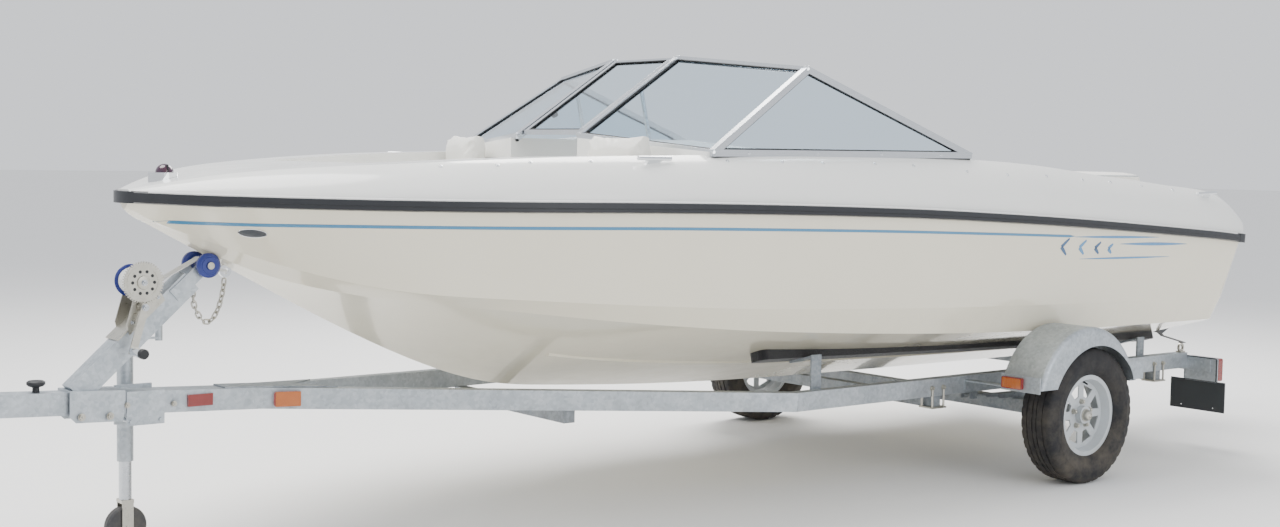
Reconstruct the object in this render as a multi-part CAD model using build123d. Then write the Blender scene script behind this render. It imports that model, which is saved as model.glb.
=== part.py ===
from build123d import *
import os
from math import atan2, cos, degrees, hypot, radians, sin

# Open-bow runabout with a sterndrive, on its single-axle bunk trailer. Millimetres.
# While it is modelled, X = 0 is the trailer axle and Z = 0 is the ground.
# +X is forward (bow and coupler), +Y is port, +Z is up. The last step moves the origin to the
# middle of the whole length, on the ground.

# Hull stations. Each row is one cross-section, from the transom to the stem.
# columns: x, keel z, chine y, chine z, knuckle y, knuckle z, sheer half-beam, sheer z
HULL_STATIONS = [
    (-1410, 395, 860, 645, 905, 760, 975, 1046),
    (-1330, 395, 862, 645, 907, 760, 978, 1052),
    (-1180, 395, 866, 645, 911, 761, 986, 1065),
    (-900, 395, 873, 646, 917, 763, 996, 1085),
    (-600, 396, 878, 648, 922, 766, 1003, 1105),
    (-300, 397, 880, 651, 926, 770, 1009, 1124),
    (0, 398, 881, 657, 929, 776, 1014, 1142),
    (300, 400, 882, 664, 930, 782, 1017, 1158),
    (700, 404, 881, 678, 929, 791, 1018, 1177),
    (1100, 410, 878, 698, 925, 803, 1019, 1193),
    (1450, 421, 869, 719, 917, 815, 1017, 1203),
    (1800, 438, 852, 744, 903, 830, 1010, 1211),
    (2100, 458, 823, 771, 880, 847, 990, 1216),
    (2400, 490, 772, 802, 842, 866, 953, 1219),
    (2800, 618, 630, 848, 728, 892, 868, 1220),
    (3150, 782, 400, 886, 520, 922, 735, 1221),
    (3450, 940, 130, 962, 232, 1004, 545, 1223),
    (3700, 1074, 45, 1084, 90, 1100, 318, 1226),
    (3893, 1184, 12, 1189, 22, 1197, 66, 1231),
]

# Deck stations, at the same x as the hull's: shoulder z and how far the shoulder is inboard.
# columns: x, shoulder z, inset
DECK_STATIONS = [
    (-1410, 1140, 78),
    (-1330, 1232, 105),
    (-1180, 1277, 125),
    (-900, 1300, 138),
    (-600, 1326, 145),
    (-300, 1348, 148),
    (0, 1376, 149),
    (300, 1396, 150),
    (700, 1408, 150),
    (1100, 1410, 150),
    (1450, 1410, 150),
    (1800, 1408, 150),
    (2100, 1402, 150),
    (2400, 1394, 150),
    (2800, 1378, 150),
    (3150, 1356, 150),
    (3450, 1334, 145),
    (3700, 1300, 110),
    (3893, 1253, 34),
]

hull_wall = 32
transom_wall = 45
hollow_front = 3450
transom_x = -1362
transom_z = 1060
transom_lean = 0.143
transom_corner = 45
deck_corner = 90
stern_lip_x = -1408
stern_lip_z = 1122
strake_y = 390
strake_front = 2700
deck_gap = 0.3

# Cockpit and bow well
sole_z = 765
sole_thick = 20
cockpit_half = 800
cockpit_aft = -1060
cockpit_front = 1560
console_front = 2060
walkway_half = 230
bow_well_front = 3180
bow_well_half_aft = 745
bow_well_half_front = 385
bow_sole_z = 940
panel_wall = 25

# Windshield, its corners and its base
pane_thick = 6
frame_w = 26
shield_base_mid = (2140, 215, 1470)
shield_base_corner = (2016, 862, 1412)
shield_top_mid = (1646, 212, 1796)
shield_top_corner = (1485, 800, 1742)
wing_tip = (584, 862, 1424)

# Trailer frame
rail_w = 50
rail_h = 76
rail_y = 685
rail_top = 458
rail_rear = -1330
rail_bend = 1400
neck_start = 3400
neck_rear_gap = 4
neck_front = 4060
front_rise = 0.0454
tongue_size = 76
tongue_front = 4560
ball_x = 4668
ball_r = 25.4

# Running gear
axle_z = 300
track_half = 1027
tyre_r = 300
tyre_w = 175
rim_r = 165
rim_flange_r = 181
rim_w = 116
hub_r = 38
spindle_r = 16
run_gap = 0.3
axle_tube = 60
spring_w = 45
leaf_half = 320
leaf_thick = 7
leaf_rise = 14

# Fenders
fender_in = 915
fender_out = 1130
fender_x = 50
fender_z = 350
fender_r = 344
fender_foot = 440
fender_sheet = 4
fender_edge_r = 22
wheel_gap = 11
lamp_plate = (424, 494)

# Jack
jack_x = 3840
jack_y = -128
jack_pivot_z = 528
jack_tube_r = 28
jack_leg_r = 22
jack_wheel_r = 72
jack_wheel_w = 36

# Sterndrive
drive_x = -1525
mount_x = -1400
drive_z = 690
trim_up = 45

# Liner, dash and helm
liner_top = 1225
console_inner = walkway_half + panel_wall
dash_mid_z = 1462
dash_side_z = 1416
helm_x = 1440
helm_y = 430
helm_z = 1270
helm_lean = 20
wheel_rim_r = 168

# Engine space
stringer_y = 250
stringer_rear = -1290
stringer_front = 1300
engine_foot_z = 640
hatch_z = 1272
hatch_half = 628
hatch_hinge_x = cockpit_aft + 6
hatch_hinge_z = hatch_z + 24
hatch_hinge_r = 5
hatch_hinge_y = (380, 440, 500)
bay_front = -470
bay_half = 590

# Windshield door and its hinge
door_bar = 20
door_gap = 5
door_side_y = shield_top_mid[1] - frame_w / 2 - door_gap - door_bar / 2
hinge_r = 4
door_hinge_y = shield_top_mid[1] - frame_w / 2 - 2
door_hinge_up = frame_w / 2
brace_y = 218

# Seats
seat_x = 850
seat_y = 430
seat_pan_z = 1005
bow_aisle_half = 190
bow_bench_z = 1120
back_x = 2182
back_y = 530
back_half = 135

# Rub rail
rub_low = 24
rub_high = 18
rub_out = 20
nose_out = 24
stern_band_x = -1290

# Eyes
eye_r = 22
eye_hole_r = 11
eye_thick = 14
bow_eye_x = 3530
eye_out = 14
bow_eye_z = 966
stern_eye_y = 440
stern_eye_z = 610
ski_eye_z = 992

# Drive details
steer_pin_r = 13
tilt_pin_r = 16
ring_half = 132
ring_low = 521
ring_top = 899
plate_z = 416
prop_z = 225
ram_y = 162
ram_front = (-45, -150)
ram_rear = (-345, -180)
ram_r = 19
ram_eye_r = 19
ram_barrel = 245
ram_rod_r = 10

# Frame details
cross_places = (-1080, 560)
front_cross = 2300
post_w = 76
post_low = (4066, 0, 570)
post_high = (3668, 0, 938)
roller_x = 3618
roller_z = 991
roller_pin_r = 9
winch_x = 3852
winch_z = 940
pinion_x = 3856
pinion_z = 858
crank_x = 3898
crank_z = 712
winch_plate = [(3905, 800), (3875, 905), (3864, 958), (3845, 962), (3822, 930), (3782, 898), (3770, 876),
               (3895, 762)]
winch_foot = (215, 400)
drum_r = 22
roller_r = 43
roller_waist_r = 21
post_length = hypot(post_high[0] - post_low[0], post_high[2] - post_low[2])
neck_half = rail_w + neck_rear_gap / 2

# Bunks
bunk_rear = -1200
bunk_front = 1500
bunk_y = 560
bunk_w = 92
bunk_thick = 42
bunk_rear_z = 536
bunk_front_z = 596
bracket_places = (-1000, 1250)

# Tail lamps and plate
lamp_strip = 5
lamp_case = 22
lamp_depth = 62
lamp_span = (690, 872)
plate_y = 762.5
plate_holes = 178
plate_hole_r = 3.5
plate_hole_z = 190


def top_of_front(x):
    """Height of the frame's top face where it rises toward the coupler."""
    return rail_top + front_rise * max(0, x - rail_bend)


def block(x0, x1, y0, y1, z0, z1):
    return Pos((x0 + x1) / 2, (y0 + y1) / 2, (z0 + z1) / 2) * Box(x1 - x0, y1 - y0, z1 - z0)


def rod(p, q, r):
    axis = Vector(*q) - Vector(*p)
    return extrude(Plane(origin=p, z_dir=axis) * Circle(r), axis.length)


def tube(p, q, r, inner):
    axis = Vector(*q) - Vector(*p)
    return extrude(Plane(origin=p, z_dir=axis) * (Circle(r) - Circle(inner)), axis.length)


def bar(p, q, width, height, extend=0):
    """Rectangular bar between two points, its width level."""
    axis = (Vector(*q) - Vector(*p)).normalized()
    level = Vector(0, 0, 1).cross(axis).normalized()
    start = Vector(*p) - axis * extend
    length = (Vector(*q) - Vector(*p)).length + 2 * extend
    return extrude(Plane(origin=start, x_dir=level, z_dir=axis) * Rectangle(width, height), length)


def side_slab(points, y0, y1):
    """Plate with an outline given in X and Z, between two values of Y."""
    face = Plane(origin=(0, y1, 0), x_dir=(1, 0, 0), z_dir=(0, -1, 0)) * make_face(
        Polyline(*points, close=True))
    return extrude(face, y1 - y0)


def side_round(x, z, r, y0, y1):
    return rod((x, y0, z), (x, y1, z), r)


def plan_slab(points, z0, z1):
    return extrude(Pos(0, 0, z0) * make_face(Polyline(*points, close=True)), z1 - z0)


def both(shape):
    return shape + mirror(shape, about=Plane.XZ)


def cross_plane(x):
    return Plane(origin=(x, 0, 0), x_dir=(0, 1, 0), z_dir=(1, 0, 0))


# Hull: a hard-chine bottom, a low knuckle above the chine and flared topsides.
def hull_section(row, wall=0, lift=0):
    x, keel_z, chine_y, chine_z, knuckle_y, knuckle_z, beam, sheer_z = row
    half = [
        (beam - wall, sheer_z + lift),
        (max(knuckle_y - wall, 14), knuckle_z + wall * 0.3),
        (max(chine_y - wall, 8), chine_z + wall * 0.7),
    ]
    points = half + [(0, keel_z + wall * 1.1)] + [(-y, z) for y, z in reversed(half)]
    return cross_plane(x) * make_face(Polyline(*points, close=True))


def transom_at(z):
    """Where the raked transom stands at a height."""
    return transom_x + (transom_z - z) * transom_lean


def behind_transom(offset, z1):
    aft = -1700
    return side_slab([(aft, 300), (transom_at(300) + offset, 300), (transom_at(z1) + offset, z1), (aft, z1)], -1100, 1100)


def stern_corners(shape):
    """Edges between the transom and the two sides."""
    aft = [e for e in shape.edges() if max((e @ 0).X, (e @ 1).X) < transom_at(600) + 20]
    return [e for e in aft if (e @ 0).Y * (e @ 1).Y > 700 ** 2]


def strakes():
    """Spray strake on each side of the bottom, let into the hull."""
    rows = [row for row in HULL_STATIONS if row[0] < strake_front]
    faces = []
    for x, keel_z, chine_y, chine_z in (row[:4] for row in rows):
        y = min(strake_y, chine_y * 0.5)
        slope = (chine_z - keel_z) / chine_y
        edge_z = keel_z + slope * (y - 30)
        points = [(y - 34, edge_z - slope * 4 + 8), (y - 30, edge_z - 1), (y, edge_z + 2), (y + 6, keel_z + slope * (y + 6) + 8)]
        faces.append(cross_plane(x) * make_face(Polyline(*points, close=True)))
    return both(loft(faces)) - behind_transom(0, 1200)


def hull_body():
    whole = loft([hull_section(row) for row in HULL_STATIONS]) - behind_transom(0, 1200)
    return fillet(stern_corners(whole), transom_corner)


def hull_hollow():
    """Space inside the shell, its wall thinner where the stem narrows."""
    sections = [hull_section(row, min(hull_wall, row[2] * 0.5), 60) for row in HULL_STATIONS]
    hollow = loft(sections) & block(-2000, hollow_front, -1200, 1200, 0, 1400)
    return hollow - behind_transom(transom_wall, 1500)


# Deck: gunwale moulding that leans inboard, cut out for the cockpit and the bow well.
def deck_section(hull_row, deck_row):
    x, shoulder_z, inset = deck_row
    beam, sheer_z = hull_row[6], hull_row[7] + deck_gap
    rise = shoulder_z - sheer_z
    low = (beam, sheer_z)
    high = (beam - inset, shoulder_z)
    swell = (beam - inset * 0.36, sheer_z + rise * 0.64)
    side = ThreePointArc(low, swell, high)
    other = ThreePointArc((-high[0], high[1]), (-swell[0], swell[1]), (-low[0], low[1]))
    top = Line(high, (-high[0], high[1]))
    base = Line((-low[0], low[1]), low)
    return cross_plane(x) * make_face([side, top, other, base])


def deck_body():
    whole = loft([deck_section(h, d) for h, d in zip(HULL_STATIONS, DECK_STATIONS)])
    low_z = HULL_STATIONS[0][7] - 20
    lip = side_slab([(-1700, low_z), (transom_at(low_z) - 1, low_z), (transom_at(low_z + 25) - 1, low_z + 25),
                     (stern_lip_x, stern_lip_z), (-1700, stern_lip_z)], -1100, 1100)
    (x0, beam0), (x1, beam1) = [(row[0], row[6] + 0.5) for row in (HULL_STATIONS[0], HULL_STATIONS[2])]
    half = [(x0, beam0), (x1, beam1), (x1, 1100), (4000, 1100)]
    plan = plan_slab(half + [(x, -y) for x, y in reversed(half)], 900, 1600)
    plan = fillet(plan.edges().filter_by(Axis.Z).group_by(Axis.X)[0], deck_corner)
    return (whole - lip) & plan


def cockpit_outline(grow=0):
    half = cockpit_half + grow
    return [(cockpit_aft - grow, half), (cockpit_front, half), (cockpit_front, -half), (cockpit_aft - grow, -half)]


def bow_outline(grow=0):
    a, f = bow_well_half_aft + grow, bow_well_half_front + grow
    return [(console_front, a), (bow_well_front + grow, f), (bow_well_front + grow, -f), (console_front, -a)]


def openings(grow, z0, z1):
    hole = fillet(plan_slab(cockpit_outline(grow), z0, z1).edges().filter_by(Axis.Z), 90)
    well = fillet(plan_slab(bow_outline(grow), z0, z1).edges().filter_by(Axis.Z).group_by(Axis.X)[-1], 110)
    aisle = block(cockpit_front - 10, console_front + 10, -walkway_half - grow, walkway_half + grow, z0, z1)
    return hole + well + aisle


def cut_to(shape, *others):
    for other in others:
        shape = shape - other
    return shape


# Stringers that carry the engine and the sole, moulded into the hull
def stringers():
    long_one = block(stringer_rear, stringer_front, stringer_y - 25, stringer_y + 25, 400, engine_foot_z)
    return both(long_one) & hull_body()


def rub_rail():
    """Black bumper strip along the joint of hull and deck, with a blunt nose."""
    faces = []
    for row in HULL_STATIONS:
        x, beam, z = row[0], row[6], row[7]
        low = (beam - 4, z - rub_low)
        points = [low, (beam + rub_out, z - rub_low + 4), (beam + rub_out, z + rub_high - 6),
                  (beam + 6, z + rub_high), (beam - 1, z + rub_high)]
        faces.append(cross_plane(x) * make_face(Polyline(*points, close=True)))
    side = loft(faces) & block(stern_band_x, 4000, 0, 1200, 900, 1400)
    x, beam, z = HULL_STATIONS[-1][0], HULL_STATIONS[-1][6], HULL_STATIONS[-1][7]
    half = beam + rub_out
    nose_r = (half ** 2 + nose_out ** 2) / (2 * nose_out)
    nose = Pos(x + nose_out - nose_r, 0, z - rub_low) * extrude(Circle(nose_r), rub_low + rub_high - 2)
    nose = nose & block(x, x + 200, -half, half, z - 60, z + 60)
    (x0, z0, beam0), (x1, z1, beam1) = [(row[0], row[7], row[6]) for row in (HULL_STATIONS[0], HULL_STATIONS[2])]
    rise = (z1 - z0) / (x1 - x0)
    aft = transom_at(z0) - rub_out
    half = beam0 + (aft - x0) * (beam1 - beam0) / (x1 - x0) + rub_out
    front_half = beam0 + (stern_band_x - x0) * (beam1 - beam0) / (x1 - x0) + rub_out
    band = plan_slab([(aft, half), (stern_band_x, front_half), (stern_band_x, -front_half), (aft, -half)],
                     -rub_low, rub_high)
    band = fillet(band.edges().filter_by(Axis.Z).group_by(Axis.X)[0], transom_corner + rub_out - 5)
    band = Pos(x0, 0, z0) * Rot(0, -degrees(atan2(rise, 1)), 0) * Pos(-x0, 0, 0) * band
    return both(side) + nose + band


def liner_ring(outline, z0):
    outer = plan_slab(outline(panel_wall), z0, liner_top)
    return outer - plan_slab(outline(0), z0 - 1, liner_top + 1)


def inside(outer):
    """Room inside the hull and under the deck, for what is fitted there."""
    return outer + block(-2000, 4000, -1000, 1000, 1100, 1700)


def sole(room, hull, deck):
    """Cockpit and bow floors, with the riser between them."""
    low = plan_slab(cockpit_outline(-0.5), sole_z - sole_thick, sole_z)
    aisle = block(cockpit_front, console_front, -cockpit_half, cockpit_half, sole_z - sole_thick, sole_z)
    high = plan_slab(bow_outline(-0.5), bow_sole_z - sole_thick, bow_sole_z)
    riser = block(console_front, console_front + 20, -console_inner, console_inner, sole_z - sole_thick,
                  bow_sole_z - sole_thick)
    floor = low + aisle + high + riser
    floor = floor - block(cockpit_aft - 10, bay_front, -bay_half, bay_half, 0, sole_z + 1)
    return cut_to(floor & room, hull, deck)


def liner_panels(room, hull, deck):
    """Inner side walls of the cockpit and of the bow well."""
    main = liner_ring(cockpit_outline, sole_z - sole_thick)
    main = main - block(cockpit_front - 60, cockpit_front + 60, -1000, 1000, 0, 2000)
    bow = liner_ring(bow_outline, bow_sole_z - sole_thick)
    bow = bow - block(console_front - 60, console_front + 26, -1000, 1000, 0, 2000)
    walls = cut_to((main + bow) & room, hull, deck)
    return walls & block(-2000, 4000, -1000, 1000, sole_z - sole_thick, liner_top)


def consoles(room, hull, deck):
    """Bulkhead and aisle wall on each side of the walkway, under the dash."""
    front = block(console_front - panel_wall, console_front, console_inner, cockpit_half + 40, sole_z, 1300)
    wall = block(cockpit_front + 60, console_front, walkway_half, console_inner, sole_z, 1300)
    return cut_to(both(front + wall) & room, hull, deck)


def dash(deck):
    """Crowned cowl that carries the windshield, with the instrument pod at the helm."""
    edge_mid = (shield_base_mid[0] + 26, walkway_half)
    edge_corner = (shield_base_corner[0] + 26, shield_base_corner[1])
    outline = [(cockpit_front + 10, walkway_half), edge_mid, edge_corner, (cockpit_front + 10, edge_corner[1])]
    cowl = plan_slab(outline, 1380, 1500)
    section = [(walkway_half - 1, 1370), (walkway_half - 1, dash_mid_z), (shield_base_corner[1] + 1, dash_side_z),
               (shield_base_corner[1] + 1, 1370)]
    face = cross_plane(1500) * make_face(Polyline(*section, close=True))
    cowl = cowl & extrude(face, 800)
    pod = side_slab([(1552, 1262), (1559.7, 1262), (1559.7, 1425), (1700, 1425), (1690, 1462), (1575, 1478),
                     (1545, 1440)], -helm_y - 175, -helm_y + 175)
    pod = fillet(pod.edges().filter_by(Axis.Y).group_by(Axis.Z)[-1], 12)
    return (both(cowl) + pod) - deck


# Windshield: two fixed front panes and wings in bright frames, with a door between them.
def pane(a0, a1, b0, b1, thick):
    """Glass between the edge a0-a1 and the edge b0-b1."""
    a0, a1, b0, b1 = Vector(*a0), Vector(*a1), Vector(*b0), Vector(*b1)
    normal = (a1 - a0).cross(b0 - a0).normalized() * (thick / 2)
    first = make_face(Polyline(a0 - normal, a1 - normal, a1 + normal, a0 + normal, close=True))
    second = make_face(Polyline(b0 - normal, b1 - normal, b1 + normal, b0 + normal, close=True))
    return loft([first, second])


def shield_frame():
    base_mid, base_corner = shield_base_mid, shield_base_corner
    top_mid, top_corner = shield_top_mid, shield_top_corner
    runs = [(base_mid, base_corner), (base_mid, top_mid), (base_corner, top_corner), (top_mid, top_corner),
            (top_corner, wing_tip), (base_corner, wing_tip)]
    side = None
    for p, q in runs:
        piece = bar(p, q, frame_w, frame_w, 8)
        side = piece if side is None else side + piece
    brace_top = (1838, brace_y, 1656)
    side = side + rod((1790, brace_y, dash_mid_z - 12), brace_top, 9)
    hinge = rod(door_hinge_point(0.06), door_hinge_point(0.94), hinge_r)
    return both(side) + hinge


def shield_glass(frame):
    front = pane(shield_base_mid, shield_top_mid, shield_base_corner, shield_top_corner, pane_thick)
    tip_low = (wing_tip[0] + 30, wing_tip[1], wing_tip[2])
    tip_high = (wing_tip[0] + 30, wing_tip[1] - 1, wing_tip[2] + 12)
    wing = pane(shield_base_corner, shield_top_corner, tip_low, tip_high, pane_thick)
    glass = cut_to(both(front + wing), frame)
    return [s for s in glass.solids() if s.volume > 1e5]


def slope_point(share, y):
    """Point on the plane of the door, share of the way from its base to its top."""
    low, high = shield_base_mid, shield_top_mid
    return (low[0] + (high[0] - low[0]) * share, y, low[2] + (high[2] - low[2]) * share)


def slope_normal():
    run = shield_top_mid[0] - shield_base_mid[0]
    rise = shield_top_mid[2] - shield_base_mid[2]
    size = hypot(run, rise)
    return (rise / size, 0, -run / size)


def door_hinge_point(share):
    x, y, z = slope_point(share, door_hinge_y)
    nx, _, nz = slope_normal()
    return (x + nx * door_hinge_up, y, z + nz * door_hinge_up)


def door_frame():
    low, high = 0.05, 0.985
    sides = [bar(slope_point(low, y), slope_point(high, y), door_bar, door_bar, 0) for y in (door_side_y, -door_side_y)]
    rails = [bar(slope_point(s, -door_side_y), slope_point(s, door_side_y), door_bar, door_bar, door_bar / 2)
             for s in (low, high)]
    return sides[0] + sides[1] + rails[0] + rails[1]


def door_glass(frame):
    glass = pane(slope_point(0.05, door_side_y), slope_point(0.985, door_side_y),
                 slope_point(0.05, -door_side_y), slope_point(0.985, -door_side_y), pane_thick)
    return glass - frame


# Seats and cushions
def pedestals():
    one = Pos(seat_x, seat_y, sole_z) * extrude(Circle(150), 10)
    one = one + Pos(seat_x, seat_y, sole_z) * extrude(Circle(34), seat_pan_z - sole_z - run_gap)
    return both(one)


def seat_shell(y):
    outline = [(seat_x - 232, seat_pan_z), (seat_x + 225, seat_pan_z), (seat_x + 235, seat_pan_z + 34),
               (seat_x - 186, seat_pan_z + 34), (seat_x - 222, 1370), (seat_x - 246, 1370)]
    shell = side_slab(outline, y - 225, y + 225)
    return fillet(shell.edges().filter_by(Axis.Y), 9)


def seat_cushions(y):
    low = block(seat_x - 150, seat_x + 228, y - 205, y + 205, seat_pan_z + 34.3, seat_pan_z + 104)
    low = fillet(low.edges().filter_by(Axis.Z), 30)
    back = side_slab([(seat_x - 186.3, seat_pan_z + 40), (seat_x - 154, seat_pan_z + 40), (seat_x - 154, 1380),
                      (seat_x - 222.7, 1380)], y - 205, y + 205)
    back = fillet(back.edges().filter_by(Axis.Y), 10)
    return low + back


def bench_outline(shrink=0):
    slope = (bow_well_half_aft - bow_well_half_front) / (bow_well_front - console_front)
    rear, front = console_front + 22 + shrink, bow_well_front - 6 - shrink
    outer_rear = bow_well_half_aft - slope * (rear - console_front) - 1 - shrink
    outer_front = bow_well_half_aft - slope * (front - console_front) - 1 - shrink
    inner = bow_aisle_half + shrink
    return [(rear, inner), (front - 420, inner), (front - 300, 0.4), (front, 0.4), (front, outer_front - 60),
            (front - 70, outer_front + 22), (rear, outer_rear)]


def bow_benches():
    return both(plan_slab(bench_outline(), bow_sole_z, bow_bench_z))


def bow_cushions():
    seat = plan_slab(bench_outline(8), bow_bench_z + 0.3, bow_bench_z + 80)
    seat = fillet(seat.edges().group_by(Axis.Z)[-1], 14)
    low = bow_bench_z + 80.3
    profile = [(-48, low), (52, low), (60, 1400), (50, 1458), (14, 1482), (-24, 1472), (-36, 1430), (-44, 1300)]
    back = side_slab(profile, -back_half, back_half)
    back = fillet(back.edges().filter_by(Axis.Y).group_by(Axis.Z)[-1], 10)
    lean = degrees(atan2(shield_base_mid[0] - shield_base_corner[0], shield_base_corner[1] - shield_base_mid[1]))
    back = Pos(back_x, back_y, 0) * Rot(0, 0, lean) * back
    return both(seat + back)


def rear_bench():
    seat = block(-420, 60, -cockpit_half + 2, cockpit_half - 2, sole_z, 1090)
    front = block(-445, -420, -cockpit_half + 2, cockpit_half - 2, sole_z, hatch_z - 0.3)
    side = block(cockpit_aft + 4, -445, hatch_half - 20, hatch_half, sole_z, hatch_z - 0.3)
    shelf = block(cockpit_aft + 4, -445, hatch_half, cockpit_half - 2, 1185, 1205)
    return (seat + front + both(side + shelf)) & openings(-1, 0, 1700)


def rear_cushions():
    seat = fillet(block(-398, 66, -780, 780, 1090.3, 1170).edges().filter_by(Axis.Y), 18)
    back = side_slab([(-419.5, 1175), (-330, 1175), (-372, 1326), (-419.5, 1326)], -780, 780)
    back = fillet(back.edges().filter_by(Axis.Y).group_by(Axis.Z)[-1], 14)
    return seat + back


def engine():
    crank = block(-1045, -520, -250, 250, engine_foot_z + run_gap, 1120)
    crank = fillet(crank.edges().filter_by(Axis.X), 60)
    pan = block(-980, -560, -150, 150, 560, 760)
    feet = both(block(-900, -640, stringer_y - 20, stringer_y + 20, engine_foot_z + run_gap, 820))
    return crank + pan + feet


def hatch_lid():
    """Engine cover with the moving knuckles of its two hinges."""
    lid = block(cockpit_aft + 6, -424, -hatch_half, hatch_half, hatch_z, hatch_z + 22)
    lid = fillet(lid.edges().filter_by(Axis.Z), 30)
    y0, y1, y2 = hatch_hinge_y
    notch = side_round(hatch_hinge_x, hatch_hinge_z, hatch_hinge_r + run_gap, y1, y2 + run_gap)
    notch = notch + block(hatch_hinge_x - 20, hatch_hinge_x + 1, y1, y2 + run_gap, hatch_z - 1, hatch_hinge_z)
    return lid - both(notch) + both(side_round(hatch_hinge_x, hatch_hinge_z, hatch_hinge_r, y0, y1 - run_gap))


def hatch_hinges(deck):
    """Leaves on the deck with the fixed knuckles of the engine cover's hinges."""
    y1, y2 = hatch_hinge_y[1:]
    leaf = block(hatch_hinge_x - 46, hatch_hinge_x - 2, y1, y2, hatch_z, hatch_hinge_z - 4)
    knuckle = side_round(hatch_hinge_x, hatch_hinge_z, hatch_hinge_r, y1, y2)
    return both(leaf + knuckle) - deck


def sun_pad():
    pad = block(cockpit_aft + 16, -434, -hatch_half + 10, hatch_half - 10, hatch_z + 22.3, hatch_z + 82)
    return fillet(pad.edges().group_by(Axis.Z)[-1], 20)


def steering_wheel():
    place = Plane(origin=(helm_x, -helm_y, helm_z), x_dir=(0, 1, 0),
                  z_dir=(-cos(radians(helm_lean)), 0, sin(radians(helm_lean))))
    rim = [(wheel_rim_r + 13 * cos(radians(a)), 13 * sin(radians(a))) for a in range(30, 390, 60)]
    ring = place * revolve(Plane.XZ * make_face(Polyline(*rim, close=True)), Axis.Z)
    hub = place * (Pos(0, 0, -30) * extrude(Circle(34), 42))
    wheel = ring + hub
    for turn in (90, 210, 330):
        spoke = place * (Rot(0, 0, turn) * Pos(wheel_rim_r / 2 + 8, 0, -2) * Box(wheel_rim_r - 36, 24, 8))
        wheel = wheel + spoke
    return wheel


def steering_column(deck):
    place = Plane(origin=(helm_x, -helm_y, helm_z), x_dir=(0, 1, 0),
                  z_dir=(-cos(radians(helm_lean)), 0, sin(radians(helm_lean))))
    shaft = place * (Pos(0, 0, -30 - run_gap) * extrude(Circle(22), -120))
    return shaft - deck


# Deck hardware
def cleat(length):
    legs = Pos(0, 0, 8) * Box(length * 0.4, 14, 20)
    return legs + Pos(0, 0, 22) * Rot(0, 90, 0) * Cylinder(8, length)


def cleats(deck):
    mid = Pos(2300, 862, 1371) * Rot(-38, 0, 0) * cleat(150)
    rear = Pos(-1115, 905, 1250) * Rot(-38, 3, 0) * cleat(150)
    return cut_to(both(mid + rear), deck)


def bow_light(deck):
    foot = Pos(3755, 0, 1270) * extrude(Ellipse(52, 34), 40)
    dome = Pos(3750, 0, 1308) * Sphere(30)
    return cut_to(foot + (dome & block(3600, 3900, -60, 60, 1308, 1400)), deck)


def eye(x, y, z, hull):
    ring = Pos(x, y, z) * Rot(90, 0, 0) * (Cylinder(eye_r, eye_thick) - Cylinder(eye_hole_r, eye_thick))
    return ring - hull


def eyes(hull):
    """Bow eye on the stem, and two eyes and a ski eye on the transom."""
    bow = eye(bow_eye_x, 0, bow_eye_z, hull)
    stern = [eye(transom_at(stern_eye_z) - eye_out, y, stern_eye_z, hull) for y in (-stern_eye_y, stern_eye_y)]
    ski = eye(transom_at(ski_eye_z) - eye_out, 0, ski_eye_z, hull)
    return bow + stern[0] + stern[1] + ski


# Sterndrive, modelled with the leg straight down and then trimmed up to its towing angle
def trimmed(shape):
    return Pos(drive_x, 0, drive_z) * Rot(0, trim_up, 0) * Pos(-drive_x, 0, -drive_z) * shape


def drive_mount(hull):
    """Housing on the raked transom with the two ears that hold the steering pins."""
    plate = block(mount_x, transom_at(400) + 20, -185, 185, 455, 945)
    plate = fillet(plate.edges().filter_by(Axis.X), 60) - Pos(-0.3, 0, 0) * hull
    ears = block(drive_x - 34, mount_x + 5, -46, 46, ring_top + 6, ring_top + 46)
    ears = ears + block(drive_x - 34, mount_x + 5, -46, 46, ring_low - 46, ring_low - 6)
    return plate + ears - rod((drive_x, 0, 400), (drive_x, 0, 1000), steer_pin_r + run_gap)


def gimbal_ring():
    ring = block(drive_x - 30, drive_x + 30, -ring_half, ring_half, ring_low, ring_top)
    ring = ring - block(drive_x - 40, drive_x + 40, -ring_half + 26, ring_half - 26, ring_low + 30, ring_top - 30)
    ring = ring + rod((drive_x, 0, ring_low - 45), (drive_x, 0, ring_low + 10), steer_pin_r)
    ring = ring + rod((drive_x, 0, ring_top - 10), (drive_x, 0, ring_top + 45), steer_pin_r)
    ring = ring - rod((drive_x, -ring_half - 10, drive_z), (drive_x, ring_half + 10, drive_z), tilt_pin_r + run_gap)
    front_x, front_z = drive_x + ram_front[0], drive_z + ram_front[1]
    ear_out = ram_y - ram_r - run_gap
    ears = both(block(front_x, drive_x + 10, ring_half - 14, ear_out, ring_low, front_z + 10))
    return ring + ears + both(side_round(front_x, front_z, ram_eye_r, ring_half - 14, ear_out))


# columns: aft of the tilt pin, above the tilt pin
DRIVE_HEAD = [(-70, -70), (-70, 60), (-150, 64), (-232, 100), (-300, 138), (-328, 122), (-338, -50), (-318, -92)]


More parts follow.
